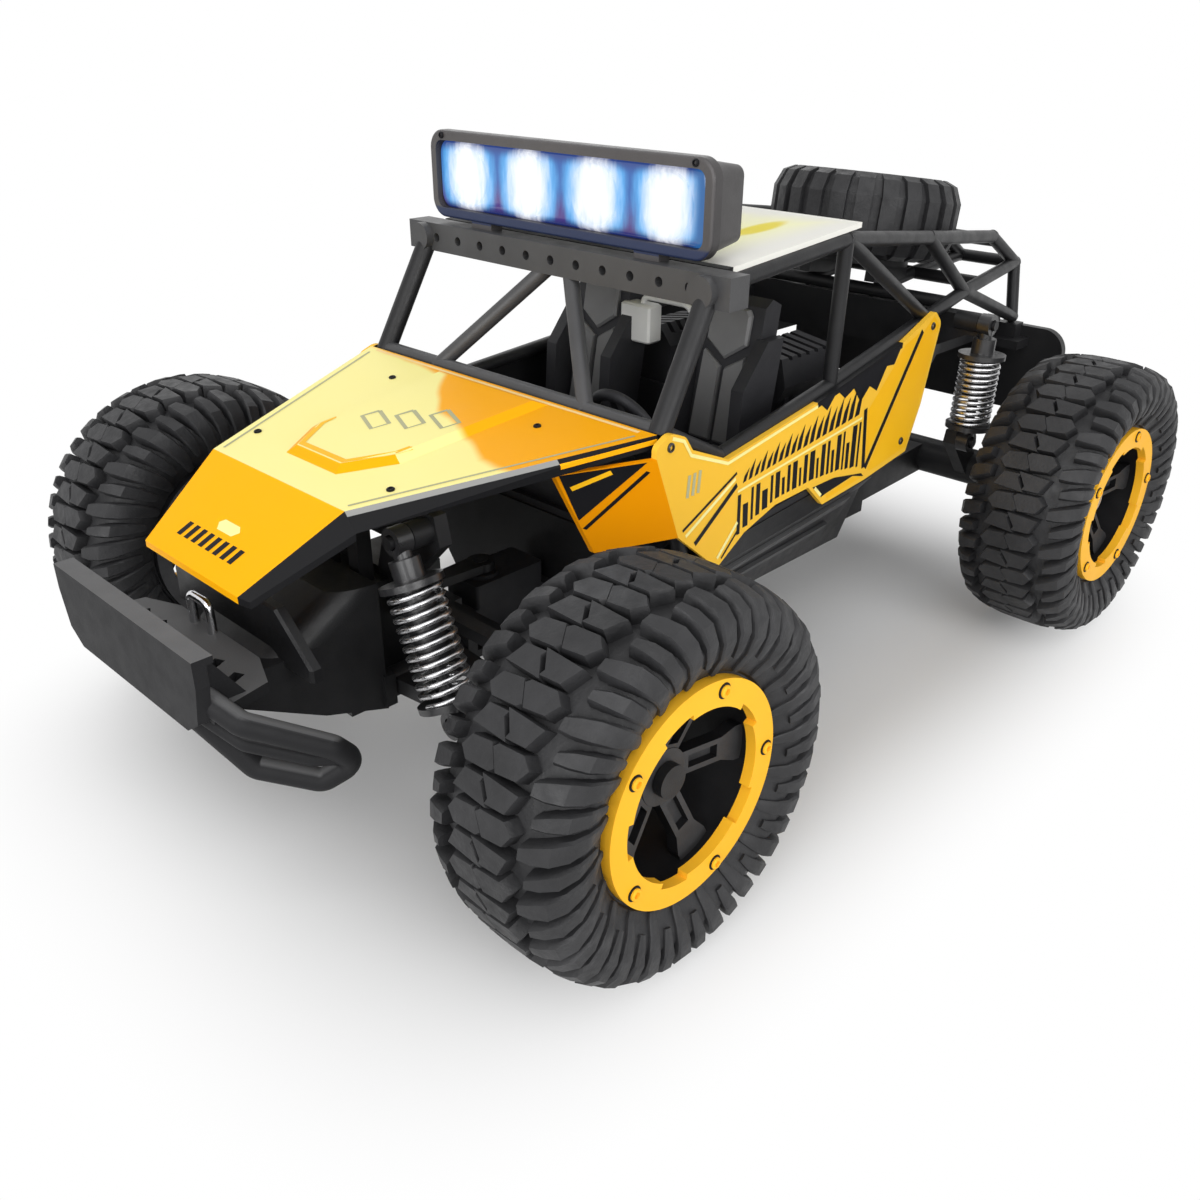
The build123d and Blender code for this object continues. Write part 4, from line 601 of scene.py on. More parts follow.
def raised_block(surface, outline, foot=0.36, chamfer=0.4):
    """A block with sloping sides on the surface; outline is (s, t) pairs."""
    centre = Vector((sum(s for s, t in outline), sum(t for s, t in outline))) / len(outline)

    def ring(grow, lift):
        points = []
        for s, t in outline:
            shift = (Vector((s, t)) - centre).normalized() * grow
            lifted = lug_height(abs(s)) * lift if lift > 0 else lift
            points.append(surface.point(s + shift.x, t + shift.y, lifted))
        return points

    return loft_rings([ring(foot, -0.8), ring(0.0, 0.75), ring(-chamfer, 1.0)])


def strip_block(surface, path, foot=0.25, chamfer=0.5):
    """A long curved block; path is (s, t, half width) from tread to sidewall."""
    rings = []
    for s, t, half in path:
        top = lug_height(abs(s))
        left = [(t - half - foot, -0.8), (t - half, top * 0.75), (t - half + chamfer, top)]
        right = [(t + half - chamfer, top), (t + half, top * 0.75), (t + half + foot, -0.8)]
        rings.append([surface.point(s, run, lift) for run, lift in left + right])
    return loft_rings(rings)


CENTRE_BLOCKS = [[(-1.4, -5.8), (0.8, -1.8), (0.3, -0.6), (6.0, -0.9), (8.0, -5.3)],
                 [(-1.1, 1.2), (-0.3, 0.2), (6.4, -0.2), (8.4, 1.9), (6.6, 4.8), (1.0, 5.4)]]
SHOULDER_LUG = [(9.6, 1.3, 1.6), (12.0, 0.7, 2.1), (14.6, -0.2, 2.4), (17.0, -1.1, 2.4), (20.0, -2.2, 2.3),
                (23.5, -3.0, 2.0), (27.0, -3.4, 1.7), (28.6, -3.5, 1.3)]
SHORT_LUG = [(11.2, 0.8, 1.3), (13.5, 0.0, 1.8), (16.0, -0.8, 2.0), (19.0, -1.8, 1.9), (22.0, -2.5, 1.6),
             (24.5, -2.8, 1.2)]
PITCHES = 22


def tyre_shape():
    """Mud tyre: casing, interlocked centre blocks, and long and short swept lugs on the shoulders."""
    line = casing_line()
    surface = Surface(line)
    pitch = 2 * math.pi * CROWN / PITCHES
    full_line = [(r, -y) for r, y in reversed(line)] + line[1:]
    inside = [(24.05, 13.1), (24.05, 9.0), (36.0, 12.0), (36.0, -12.0), (24.05, -9.0), (24.05, -13.1)]
    parts = [closed_lathe(full_line + inside, 144)]
    for k in range(PITCHES):
        base = k * pitch
        for side in (1, -1):
            shift = base + (0 if side > 0 else pitch / 2)
            for outline in CENTRE_BLOCKS:
                block = [(side * s, shift + side * t) for s, t in outline]
                parts.append(raised_block(surface, block))
            for path, lead in ((SHOULDER_LUG, 0.25), (SHORT_LUG, 0.75)):
                lug = [(side * s, shift + pitch * lead + side * t, half) for s, t, half in path]
                parts.append(strip_block(surface, lug))
    return merged(parts)


def closed_lathe(profile, steps):
    """Ring skin from a closed (radius, height) outline round Z."""
    count = len(profile)
    vertices = [spun(r, 2 * math.pi * k / steps, h) for k in range(steps) for r, h in profile]
    faces = [quad for k in range(steps) for quad in quads(k * count, (k + 1) % steps * count, count)]
    return vertices, faces


def make_tyres():
    """Treaded tyres, each with its own Z axis pointing outboard."""
    vertices, faces = tyre_shape()
    for corner in CORNERS:
        node = "tyre_" + corner
        place = placed(middle(node) / MM, (0, SIDES[corner.split("_")[1]], 0))
        shape = ([place @ v for v in vertices], faces)
        piece = mesh_piece("tread_tyre_" + corner, shape, "tyre", node, smooth=30)
        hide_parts(node)


# ---- springs
# Sizes of the coils, and their distance from the lower and the upper eye, in millimetres.
COIL = {"mean_radius": 5.9, "wire": 0.66, "turns": 11.5}
COIL_FOOT, COIL_HEAD = 6.1, 10.5


def make_springs():
    """Round wire coils between shock body and rod."""
    for corner in CORNERS:
        top, bottom = shock_axis(corner)
        axis = (top - bottom).normalized()
        start = bottom + axis * COIL_FOOT
        end = top - axis * COIL_HEAD
        piece = coil("coil_spring_" + corner, start, end, **COIL)
        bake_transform(piece)
        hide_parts("shock_spring_" + corner)


def joint(name):
    return next(entry for entry in frame["joints"] if entry["name"] == name)


def shock_axis(corner):
    """Upper and lower eye of a shock, in millimetres."""
    top = Vector(joint("shock_swing_" + corner)["pos_m"]) / MM
    direction = Vector(joint("shock_slide_" + corner)["axis"])
    foot = low("shock_rod_" + corner) / MM
    drop = (top.z - foot.z - 3.0) / direction.z
    return top, top - direction * drop


def coil(name, start, end, mean_radius, wire, turns):
    """Wire wound round the line from start to end."""
    steps = int(turns * 20)
    place = placed(start, end - start)
    length = (end - start).length
    rings = []
    for k in range(steps + 1):
        share = k / steps
        angle = share * turns * 2 * math.pi
        rise = wire + (length - 2 * wire) * share
        section = [(mean_radius + wire * math.cos(a), rise + wire * math.sin(a))
                   for a in (math.pi * i / 4 for i in range(8))]
        rings.append([place @ spun(radius, angle, height) for radius, height in section])
    return mesh_piece(name, loft_rings(rings), "steel", smooth=60)


# ---- printed and fitted details
def skin_of(node):
    """Search tree over a node's faces, in metres."""
    mesh = nodes[node].data
    return BVHTree.FromPolygons([v.co for v in mesh.vertices], [tuple(p.vertices) for p in mesh.polygons])


def meet(skin, point, axis, away=0.4):
    """Where a ray against axis, starting away metres off, meets the skin: point in mm and outward normal."""
    start = Vector(point) * MM + Vector(axis) * away
    place, normal, _, _ = skin.ray_cast(start, -Vector(axis))
    if place is None:
        raise ValueError(f"no skin under {tuple(point)}")
    if normal.dot(Vector(axis)) < 0:
        normal = -normal
    return place / MM, normal


def printed(name, node, shapes, axis, key, lift):
    """Thin printed shapes on a node; shapes are rings of 3-D points cast against axis."""
    skin = skin_of(node)
    vertices, faces = [], []
    for shape in shapes:
        base = len(vertices)
        for point in shape:
            place, normal = meet(skin, point, axis)
            vertices.append(place + normal * lift)
        faces.append(facing(vertices, range(base, base + len(shape)), Vector(axis)))
    mesh_piece(name, (vertices, faces), key, node, closed=False)


def facing(vertices, ring, axis):
    """The ring of indices wound so that it faces axis."""
    ring = list(ring)
    normal = Vector()
    for a, b in zip(ring, ring[1:] + ring[:1]):
        normal += vertices[a].cross(vertices[b])
    return tuple(ring) if normal.dot(axis) > 0 else tuple(reversed(ring))


def ribbon(points, width):
    """Ring of 2-D points round a line of the given width."""
    points = [Vector(point) for point in points]
    left, right = [], []
    for k, point in enumerate(points):
        before = points[max(k - 1, 0)]
        after = points[min(k + 1, len(points) - 1)]
        run = (after - before).normalized()
        out = Vector((-run.y, run.x)) * width / 2
        left.append(point + out)
        right.append(point - out)
    return [tuple(p) for p in left + right[::-1]]


def slab(ring, normals, thick, inset):
    """Closed raised shape standing on a ring of points, its top edge drawn in."""
    centre = sum(ring, Vector()) / len(ring)
    foot = [p - n * 0.4 for p, n in zip(ring, normals)]
    wall = [p + n * (thick - inset) for p, n in zip(ring, normals)]
    crown = [p + n * thick + (centre - p).normalized() * inset for p, n in zip(ring, normals)]
    return loft_rings([foot, wall, crown])


def raised(name, node, shapes, axis, key, thick, inset, away=0.4):
    """Raised shapes on a node; shapes are rings of 3-D points cast against axis."""
    skin = skin_of(node)
    parts = []
    for shape in shapes:
        hits = [meet(skin, point, axis, away) for point in shape]
        parts.append(slab([p for p, _ in hits], [n for _, n in hits], thick, inset))
    mesh_piece(name, merged(parts), key, node)


def screw_shape(place, radius, height, socket):
    """Socket-head screw standing on place, Z outwards."""
    angles = [math.pi * k / 12 for k in range(24)]
    sector = math.pi / 3

    def circle(r, h):
        return [place @ spun(r, angle, h) for angle in angles]

    def hexagon(r, h):
        offsets = [(angle + sector / 2) % sector - sector / 2 for angle in angles]
        return [place @ spun(r / math.cos(offset), angle, h) for angle, offset in zip(angles, offsets)]

    edge = min(0.25, height * 0.4)
    return loft_rings([circle(radius, -0.5), circle(radius, height - edge), circle(radius - edge, height),
                       hexagon(socket, height), hexagon(socket * 0.96, height - min(0.7, height + 0.2))])


def screws(name, node, spots, key, radius, height, socket):
    """Screws on a node; spots are pairs of a 3-D point and the axis it is cast against."""
    skin = skin_of(node)
    parts = []
    for point, axis in spots:
        place, normal = meet(skin, point, axis)
        parts.append(screw_shape(placed(place, normal), radius, height, socket))
    mesh_piece(name, merged(parts), key, node, smooth=35)


def pipe(points, radius, steps=12):
    """Round tube along a line of points, in millimetres."""
    points = [Vector(point) for point in points]
    angles = [2 * math.pi * i / steps for i in range(steps)]
    rings = []
    side = None
    for k, point in enumerate(points):
        run = (points[min(k + 1, len(points) - 1)] - points[max(k - 1, 0)]).normalized()
        side = (run.orthogonal() if side is None else side - run * side.dot(run)).normalized()
        other = run.cross(side)
        rings.append([point + side * radius * math.cos(a) + other * radius * math.sin(a) for a in angles])
    return loft_rings(rings)


def rounded_path(points, radius=2.0, steps=5):
    """The line with each inner corner replaced by a short arc."""
    points = [Vector(point) for point in points]
    path = [points[0]]
    for before, corner, after in zip(points, points[1:], points[2:]):
        start = corner + (before - corner).normalized() * radius
        end = corner + (after - corner).normalized() * radius
        for k in range(steps + 1):
            t = k / steps
            path.append(start * (1 - t) ** 2 + corner * 2 * t * (1 - t) + end * t ** 2)
    path.append(points[-1])
    return path


# ---- body graphics
PANEL_BOTTOM = [(25.6, 60.4), (20.6, 62.6), (5.6, 65.5), (-12.0, 65.1), (-27.0, 63.7), (-43.6, 60.4)]
PANEL_TOP = [(25.9, 82.6), (-12.3, 86.6), (-41.0, 90.2)]


def along(line, x):
    """Height of a falling-x line at x."""
    for (x0, z0), (x1, z1) in zip(line, line[1:]):
        if x >= x1:
            return z0 + (z1 - z0) * (x0 - x) / (x0 - x1)
    return line[-1][1]


def divider(x):
    """Height of the line between the panel's two bands."""
    return 74.2 + (25.9 - x) * 0.047


BAR_WIDTHS = (1.5, 2.4, 1.1, 1.9, 2.7, 1.2, 2.2, 1.4)
BAR_SPAN, BAR_GAP = (24.4, -40.5), 1.25
SHARD_SPAN, SHARD_GAP = (23.0, -38.0), 1.2


def lower_bars():
    """Row of slanted bars of uneven width in the panel's lower band."""
    bars = []
    x = BAR_SPAN[0]
    k = 0
    while x > BAR_SPAN[1]:
        width = BAR_WIDTHS[k % len(BAR_WIDTHS)]
        foot, head = along(PANEL_BOTTOM, x) + 0.9, divider(x) - 1.2
        cut = head - (head - foot) * (0.34 if k % 3 == 1 else 0.0)
        bars.append([(x, foot), (x - width, foot), (x - width + 0.5, cut), (x + 0.5, cut)])
        x -= width + BAR_GAP
        k += 1
    return bars


def upper_shards():
    """Leaning shards in the upper band, growing towards the back."""
    shards = []
    x = SHARD_SPAN[0]
    k = 0
    while x > SHARD_SPAN[1]:
        behind = SHARD_SPAN[0] - x
        tall = 3.6 + behind * 0.075 + (1.4 if k % 2 else 0.0)
        wide = 1.5 + behind * 0.022
        foot = divider(x) + 1.5
        head = min(foot + tall, along(PANEL_TOP, x) - 1.0)
        shards.append([(x, foot), (x - wide, foot + 0.3), (x - wide - 1.3, head),
                       (x - wide * 0.4, foot + tall * 0.5)])
        x -= wide + SHARD_GAP
        k += 1
    return shards


def rear_belt():
    """Black belt up to the panel's top edge, its lower edge in teeth."""
    belt = [(-13.0, 88.1), (-40.0, 91.8), (-62.0, 94.8), (-58.2, 89.6)]
    steps = 9
    for k in range(steps + 1):
        share = k / steps
        z = 89.6 - 5.2 * share - 5.4 * math.sin(math.pi * min(1.0, share * 1.5))
        belt.append((-58.2 + 44.6 * share, z + (3.8 if k % 2 else 0.0)))
    return belt


SIDE_BLACK = [ribbon([(26.1, 79.6), (48.9, 71.2)], 0.8), ribbon([(25.7, 76.3), (43.4, 65.9)], 1.5),
              ribbon([(24.2, 62.9), (31.0, 57.6)], 0.7), ribbon([(-75.6, 96.4), (-46.6, 60.0)], 2.1),
              ribbon([(-42.6, 79.6), (-45.4, 60.4)], 2.0),
              [(-14.6, 63.3), (-27.0, 62.6), (-44.6, 58.9), (-46.4, 57.4), (-39.0, 59.6), (-22.8, 58.9),
               (-20.2, 58.6)]]
SIDE_PALE = [ribbon([(26.6, 78.2), (47.6, 69.4)], 1.0), ribbon([(24.4, 65.6), (33.0, 58.3)], 1.1),
             ribbon([(54.6, 96.2), (49.9, 94.3), (46.8, 90.0), (30.6, 83.4), (-12.3, 87.4), (-13.0, 87.4)],
                    0.9),
             ribbon([(25.2, 74.2), (-40.8, 77.3)], 0.7), ribbon([(-15.8, 62.8), (-20.0, 59.2)], 1.0)]
SIDE_AMBER = [[(-46.4, 63.0), (-44.2, 78.6), (-59.6, 90.0), (-64.4, 94.2), (-73.6, 96.2)],
              [(-48.6, 59.2), (-77.0, 96.2), (-83.0, 99.6), (-87.6, 96.2), (-80.6, 72.0), (-74.2, 59.2),
               (-50.0, 58.0)],
              [(-23.0, 58.2), (-39.0, 59.0), (-45.8, 57.4), (-24.0, 57.0)]]


def side_graphics(side, sign):
    """Printed shapes and screws of one side panel."""
    node = "side_panel_" + side
    axis = (0, sign, 0)

    def lay(name, shapes, key, lift):
        printed(name + side, node, [[(x, 0, z) for x, z in shape] for shape in shapes], axis, key, lift)

    lay("print_amber_", SIDE_AMBER, "amber", 0.05)
    lay("print_black_", SIDE_BLACK + lower_bars() + upper_shards() + [rear_belt()], "black", 0.08)
    lay("print_pale_", SIDE_PALE, "pale", 0.11)
    facet = [[(61.8, 92.1), (76.8, 89.3), (70.6, 76.6)], ribbon([(61.0, 89.6), (69.0, 74.0)], 0.9)]
    lay("print_facet_", facet, "black", 0.08)
    lay("print_facet_stripe_", [ribbon([(67.6, 89.8), (73.9, 85.6)], 1.3)], "amber", 0.11)
    bars = [[(48.2 - x, 79.6), (47.0 - x, 79.3), (46.4 - x, 85.0), (47.6 - x, 85.2)] for x in (0.0, 2.2, 4.4)]
    lay("print_bars_", bars, "mark", 0.08)
    spots = [((x, 0, z), axis) for x, z in ((55.2, 94.2), (-70.0, 62.4), (-82.6, 96.6))]
    screws("screws_panel_" + side, node, spots, "shock", radius=1.2, height=0.6, socket=0.75)


def hood_graphics():
    """Painted highlight and reflections along the hood's edges, chevron, creases, nose bars and tab, emblem frames
    and screws of the hood.
    """
    up = (0, 0, 1)

    def lay(name, shapes, key, lift=0.06):
        printed(name, "hood", [[(x, y, 0) for x, y in shape] for shape in shapes], up, key, lift)

    # Painted highlight: a pale peach line along the cowl edge.
    lay("painted_cowl_highlight", [ribbon([(58.9, -50.0), (58.9, 50.0)], 1.0)], "peach")
    frames = [[(88.0 - 5.0 * k, -9.0 + 7.0 * k), (92.5 - 5.0 * k, -10.0 + 7.0 * k),
               (96.0 - 5.0 * k, -1.5 + 7.0 * k), (91.5 - 5.0 * k, -0.5 + 7.0 * k)] for k in range(3)]
    lay("print_emblem", [ribbon(ring + ring[:1], 1.1) for ring in frames], "mark")
    half_chevron = [(97.0, 15.2), (101.0, 14.6), (110.6, 8.4)]
    chevron = [(x, -y) for x, y in half_chevron] + half_chevron[::-1]
    lay("print_chevron", [ribbon(chevron, 1.6)], "amber", 0.09)
    creases = [ribbon([(61.0, sign * 17.8), (101.0, sign * 14.7)], 0.5) for sign in (1, -1)]
    lay("print_creases", creases, "amber", 0.07)
    # Painted reflections: grey lines along the hood's side edges.
    edges = [ribbon([(61.0, sign * 50.6), (121.5, sign * 25.2)], 0.7) for sign in (1, -1)]
    lay("painted_edge_reflections", edges, "mark", 0.07)
    bars = [[(138.6, y), (141.9, y - 0.8), (141.9, y + 0.9), (138.6, y + 1.7)]
            for y in (3.07 * k - 12.0 for k in range(8))]
    lay("print_nose_bars", bars, "black")
    lozenge = [(136.0, -3.6), (137.4, -2.4), (137.4, 3.4), (136.0, 5.0), (135.0, 3.6), (135.0, -2.4)]
    lay("print_nose_tab", [lozenge], "pale")
    spots = [((x, sign * y, 0), up) for x, y in ((70.0, 28.0), (111.5, 26.6)) for sign in (1, -1)]
    screws("screws_hood", "hood", spots, "black", radius=0.95, height=0.5, socket=0.5)


# ---- light bar
LAMP_BOWL = [(7.9, -1.0), (7.9, 0.3), (7.4, 0.3), (5.6, -0.9), (2.9, -1.3), (2.9, -0.4), (2.1, 0.2),
             (0.8, 0.5)]
LAMP_RECESS = 0.5
BEZEL_SCREW_INSET = (5.5, 1.35)


def make_lamps():
    """Four reflector bowls with domes, in one lit field behind the bezel."""
    middle_z, pitch = lamp_places()
    box_low, box_high = low("light_lens") / MM, high("light_lens") / MM
    face = box_high.x - LAMP_RECESS
    parts = [field_plate(box_low, box_high, face)]
    for k in range(4):
        centre = (face, box_low.y + pitch * (k + 0.5), middle_z)
        parts.append(lathe(LAMP_BOWL, placed(centre, (1, 0, 0)), 40))
    piece = mesh_piece("lamp_field", merged(parts), "glow", "light_lens", smooth=40)
    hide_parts("light_lens")


def field_plate(box_low, box_high, face):
    """Plate with rounded corners and a chamfered edge that fills the bezel's window."""
    corner = 3.2

    def ring(x, inset):
        y, z0, z1 = box_high.y - inset - corner, box_low.z + inset + corner, box_high.z - inset - corner
        points = []
        for quarter, (cy, cz) in enumerate(((y, z1), (-y, z1), (-y, z0), (y, z0))):
            for k in range(7):
                turn = math.radians(90 * quarter + 15 * k)
                points.append(Vector((x, cy + corner * math.cos(turn), cz + corner * math.sin(turn))))
        return points

    return loft_rings([ring(box_low.x, 0.1), ring(face - 0.5, 0.1), ring(face, 0.6)])


def light_details():
    """Bezel screws of the light bar."""
    corner = high("light_housing") / MM
    y, z = corner.y - BEZEL_SCREW_INSET[0], corner.z - BEZEL_SCREW_INSET[1]
    spots = [((0, sign * y, z), (1, 0, 0)) for sign in (1, -1)]
    screws("screws_bezel", "light_housing", spots, "black", radius=0.9, height=0.6, socket=0.5)


# ---- wheels' bolts and the cockpit
BOLT_ANGLES = {"front": (35, 107, 179, -109, -37), "rear": (27, 99, 171, -117, -45)}
BOLT_CIRCLE = 22.6
BOLT_PARTS = (("bolt_seats_", "black", 1.75, 0.3), ("bolts_ring_", "ring", 1.35, 0.9))


def wheel_bolts():
    """Screws in the lobes of the beadlock rings, each in a black seat."""
    for corner in CORNERS:
        end, side = corner.split("_")
        sign = SIDES[side]
        node = "beadlock_ring_" + corner
        centre = middle(node) / MM
        centre.y = (high(node).y if sign > 0 else low(node).y) / MM
        places = []
        for turn in (math.radians(angle) for angle in BOLT_ANGLES[end]):
            arm = Vector((math.cos(turn), 0, math.sin(turn)))
            places.append(placed(centre + arm * BOLT_CIRCLE, (0, sign, 0)))
        for name, key, radius, height in BOLT_PARTS:
            shape = merged([screw_shape(place, radius, height, 0.7) for place in places])
            mesh_piece(name + corner, shape, key, node, smooth=35)


def seat_pads():
    """Stitched pads on both seats: pentagon head pad and two long pads."""
    ahead = (1, 0, 0)
    for side, sign in SIDES.items():
        head = [(18.6, 111.0), (30.4, 111.0), (31.4, 109.5), (31.4, 101.5), (24.5, 97.0), (17.6, 101.5),
                (17.6, 109.5)]
        long_pads = [[(17.4, 98.6), (23.6, 94.8), (23.6, 74.0), (16.6, 74.0)],
                     [(25.2, 94.8), (31.6, 98.6), (32.4, 74.0), (25.2, 74.0)]]
        rings = [[(21.0, sign * y, z) for y, z in ring] for ring in [head] + long_pads]
        raised("seat_pads_" + side, "cockpit_interior", rings, ahead, "pad", 1.5, 0.7, away=0.0)
        base = [[(-1.0, sign * y0, 0), (20.0, sign * y0, 0), (20.0, sign * y1, 0), (-1.0, sign * y1, 0)]
                for y0, y1 in ((16.6, 23.8), (25.2, 32.4))]
        raised("seat_cushions_" + side, "cockpit_interior", base, (0, 0, 1), "pad", 1.4, 0.7)


def box_shape(low_corner, high_corner, soft=0.6):
    """Box with chamfered edges on top and round the sides."""
    x0, y0, z0 = low_corner
    x1, y1, z1 = high_corner

    def ring(z, grow):
        near = ((x0 + grow + soft, y0 + grow), (x1 - grow - soft, y0 + grow), (x1 - grow, y0 + grow + soft),
                (x1 - grow, y1 - grow - soft))
        return [Vector((x, y, z)) for x, y in near + tuple((x0 + x1 - x, y0 + y1 - y) for x, y in near)]

    return loft_rings([ring(z0, soft), ring(z0 + soft, 0), ring(z1 - soft, 0), ring(z1, soft)])


def cockpit_details():
    """Pale box and hoop between the seats."""
    box = box_shape((-11.0, -15.8, 95.4), (-5.0, -4.2, 106.6))
    hoop = rounded_path([(-8.0, -9.0, 105.0), (-8.0, -9.0, 108.6), (-8.0, 8.0, 108.6), (-8.0, 12.6, 103.0)])
    mesh_piece("switch_box", merged([box, pipe(hoop, 0.9)]), "alloy", "cockpit_interior", smooth=30)


def chassis_details():
    """Plated loop and dark plate under the nose, and the step along each side of the tub."""
    loop = rounded_path([(143.5, -8.0, 57.6), (143.5, -8.0, 66.0), (143.5, 0.0, 66.0), (143.5, 0.0, 57.6)])
    mesh_piece("nose_loop", pipe(loop, 1.1), "bright", "front_bumper", smooth=40)
    outline = [(-29.0, 55.0), (29.0, 55.0), (29.0, 58.0), (17.0, 68.5), (-17.0, 68.5), (-29.0, 63.5)]
    foot = 55.0
    plate = [[Vector((x, y * share, foot + (z - foot) * share)) for y, z in outline]
             for x, share in ((134.5, 1.0), (136.4, 1.0), (137.0, 0.97))]
    mesh_piece("nose_plate", loft_rings(plate), "frame", "front_bumper")
    for side, sign in SIDES.items():
        steps = [[(34.0, 0, 50.0), (-48.0, 0, 50.0), (-46.0, 0, 47.4), (31.0, 0, 47.4)],
                 [(24.0, 0, 42.0), (-40.0, 0, 42.0), (-38.5, 0, 40.6), (22.0, 0, 40.6)]]
        raised("tub_steps_" + side, "chassis_tub", steps, (0, sign, 0), "pillar", 1.2, 0.5)


# ---- carried-over CAD nodes
def paired(*parts):
    return tuple(f"{part}_{side}" for part in parts for side in SIDES)


FINISH = {
    "frame": ("chassis_tub", "front_bulkhead", "rear_bulkhead", "spare_rack", "rear_bumper", "battery_cover",
              "axle_housing", "tie_bar", "servo_horn") + paired("cage", "lower_arm", "upper_link",
                                                                "wheel_carrier", "steering_knuckle"),
    "matt": ("cockpit_interior", "power_switch", "steering_servo"),
    "rim": tuple("rim_" + corner for corner in CORNERS),
    "ring": tuple("beadlock_ring_" + corner for corner in CORNERS),
    "hood": ("hood",),
    "yellow": paired("side_panel"),
    "white": ("roof_panel",),
    "lamp": ("light_housing",),
    "bumper": ("front_bumper",),
    "pillar": ("windscreen_frame",),
    "shock": tuple(f"shock_{part}_{corner}" for part in ("cylinder", "rod") for corner in CORNERS),
    "tyre": ("spare_tyre",),
    "steel": ("axle_gear", "drive_motor"),
    "brass": ("motor_pinion",),
    "board": ("receiver_board",),
    "sleeve": ("battery_pack",),
}
SOFT_EDGES = {"cage_left": 0.0, "cage_right": 0.0, "spare_tyre": 0.35, "hood": 0.3, "front_bumper": 0.5,
              "rear_bumper": 0.6, "light_housing": 0.5, "cockpit_interior": 0.8, "front_bulkhead": 0.5,
              "side_panel_left": 0.25, "side_panel_right": 0.25, "roof_panel": 0.25}


def finish_nodes():
    for key, names in FINISH.items():
        for name in names:
            piece = nodes[name]
            piece.data.materials.clear()
            piece.data.materials.append(materials[key])
            width = SOFT_EDGES.get(name, 0.2)
            if width:
                bevel(piece, width)


# ---- camera, floor and light
CAMERA_AZIMUTH, CAMERA_ELEVATION, CAMERA_ROLL = (math.radians(angle) for angle in (133.751, 27.488, 0.5))
CAMERA_PLACE = (0.23990, 0.21146, 0.18017)
FOCAL_LENGTH, SENSOR_WIDTH = 33.372, 36.0


def make_camera():
    """Camera that was fitted to the photograph, placed in the shared frame."""
    level = math.cos(CAMERA_ELEVATION)
    back = Vector((math.sin(CAMERA_AZIMUTH) * level, -math.cos(CAMERA_AZIMUTH) * level,
                   math.sin(CAMERA_ELEVATION)))
    right = Vector((0, 0, 1)).cross(back).normalized()
    up = back.cross(right)
    tilted_right = right * math.cos(CAMERA_ROLL) + up * math.sin(CAMERA_ROLL)
    tilted_up = up * math.cos(CAMERA_ROLL) - right * math.sin(CAMERA_ROLL)
    data = bpy.data.cameras.new("camera")
    data.sensor_width = SENSOR_WIDTH
    data.lens = FOCAL_LENGTH
    data.clip_start = 0.01
    camera = bpy.data.objects.new("camera", data)
    bpy.context.scene.collection.objects.link(camera)
    basis = Matrix((tilted_right, tilted_up, back)).transposed().to_4x4()
    camera.matrix_world = Matrix.Translation(CAMERA_PLACE) @ basis
    bpy.context.scene.camera = camera


def add_area(name, position, target, size, power):
    data = bpy.data.lights.new(name, "AREA")
    data.shape = "RECTANGLE"
    data.size, data.size_y = size
    data.energy = power
    lamp = bpy.data.objects.new(name, data)
    bpy.context.scene.collection.objects.link(lamp)
    lamp.location = position
    lamp.rotation_euler = (Vector(target) - Vector(position)).to_track_quat("-Z", "Y").to_euler()


FLOOR_REACH = 3.0
SHADOW_AREA = (0.180, 0.120)


def mix_shaders(tree, output, share, first, second):
    """Feeds the tree's output node with a mix of two shaders."""
    mix = add_node(tree, "ShaderNodeMixShader", {0: share, 1: first, 2: second})
    feed(tree.nodes[output], {"Surface": mix.outputs["Shader"]})


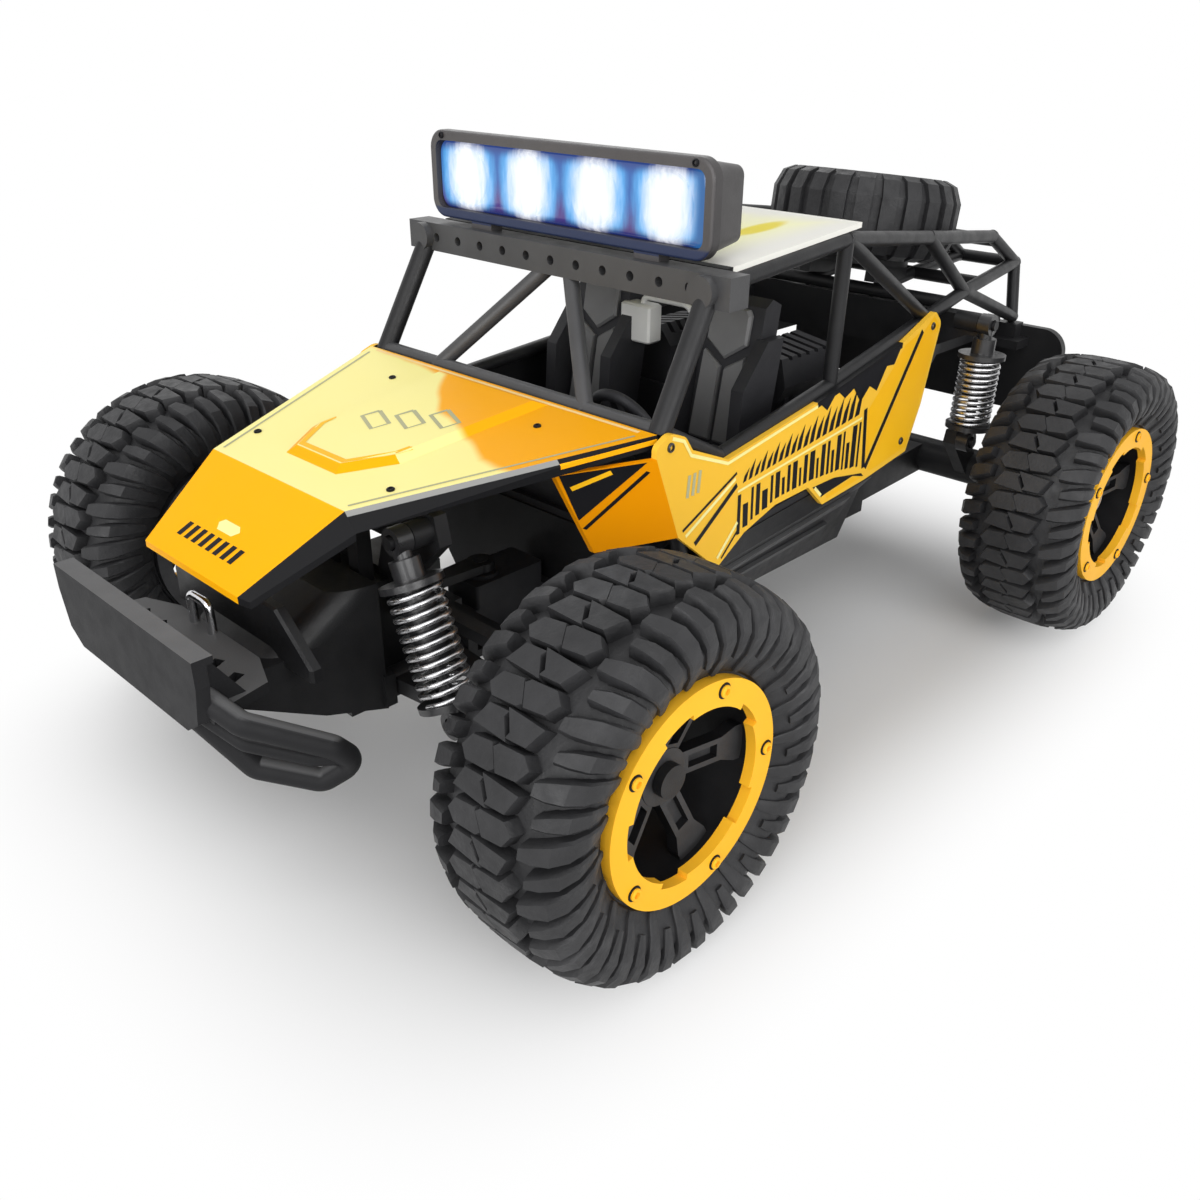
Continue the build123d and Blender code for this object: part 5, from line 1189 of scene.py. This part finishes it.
def floor_paint():
    """Pale grey where the shadow falls, fading to plain white outside SHADOW_AREA."""
    material, tree, shader = new_material("pale_floor")
    tone = mottled(tree, (0.75, 0.75, 0.75), (0.78, 0.78, 0.78), 8, 2.0)
    feed(shader, {"Base Color": tone, "Roughness": 0.55})
    shares = [quotient(value, size) for value, size in zip(axes(tree), SHADOW_AREA)]
    outside = powered(reach(*shares, (4.0, 4.0)), 0.25)
    white = add_node(tree, "ShaderNodeEmission", {"Color": (1, 1, 1, 1), "Strength": 1.0})
    share = product(ramped(outside, 0.62, 1.12), light_path_mask(tree))
    mix_shaders(tree, "Material Output", share, shader.outputs["BSDF"], white.outputs["Emission"])
    return material


def make_floor():
    """Floor that keeps the shadow near the buggy and is white beyond."""
    mesh = bpy.data.meshes.new("floor")
    corners = [(x * FLOOR_REACH, y * FLOOR_REACH, 0) for x, y in ((-1, -1), (1, -1), (1, 1), (-1, 1))]
    mesh.from_pydata(corners, [], [(0, 1, 2, 3)])
    floor = bpy.data.objects.new("floor", mesh)
    bpy.context.scene.collection.objects.link(floor)
    mesh.materials.append(floor_paint())


def light_path_mask(tree):
    """1 for rays that the camera sees directly, in gloss or through glass."""
    path = add_node(tree, "ShaderNodeLightPath", {}).outputs
    first = larger(path["Is Camera Ray"], path["Is Glossy Ray"])
    return larger(first, path["Is Transmission Ray"])


def make_world():
    """Soft grey light from all round, seen as plain white."""
    world = bpy.data.worlds.new("studio")
    bpy.context.scene.world = world
    world.use_nodes = True
    tree = world.node_tree
    base = tree.nodes["Background"]
    feed(base, {"Color": (1, 1, 1, 1), "Strength": 0.36})
    white = add_node(tree, "ShaderNodeBackground", {"Color": (1, 1, 1, 1), "Strength": 1.0})
    mix_shaders(tree, "World Output", light_path_mask(tree), base.outputs["Background"],
                white.outputs["Background"])


LIGHTS = (("key", (0.40, 0.45, 0.90), (0, 0, 0.05), (0.9, 0.7), 3.6),
          ("front", (1.0, 0.25, 0.35), (0, 0, 0.06), (0.8, 0.4), 5.2),
          ("side", (0.25, 1.0, 0.35), (0, 0, 0.06), (0.8, 0.4), 4.2),
          ("back", (-0.35, -0.6, 0.7), (0, 0, 0.08), (0.8, 0.5), 2.0))


finish_nodes()
make_tyres()
make_springs()
make_lamps()
light_details()
wheel_bolts()
seat_pads()
cockpit_details()
chassis_details()
hood_graphics()
for side_name, side_sign in SIDES.items():
    side_graphics(side_name, side_sign)
make_camera()
make_floor()
make_world()
for name, position, target, size, power in LIGHTS:
    add_area(name, position, target, size, power)
bpy.context.scene.view_settings.view_transform = "Standard"
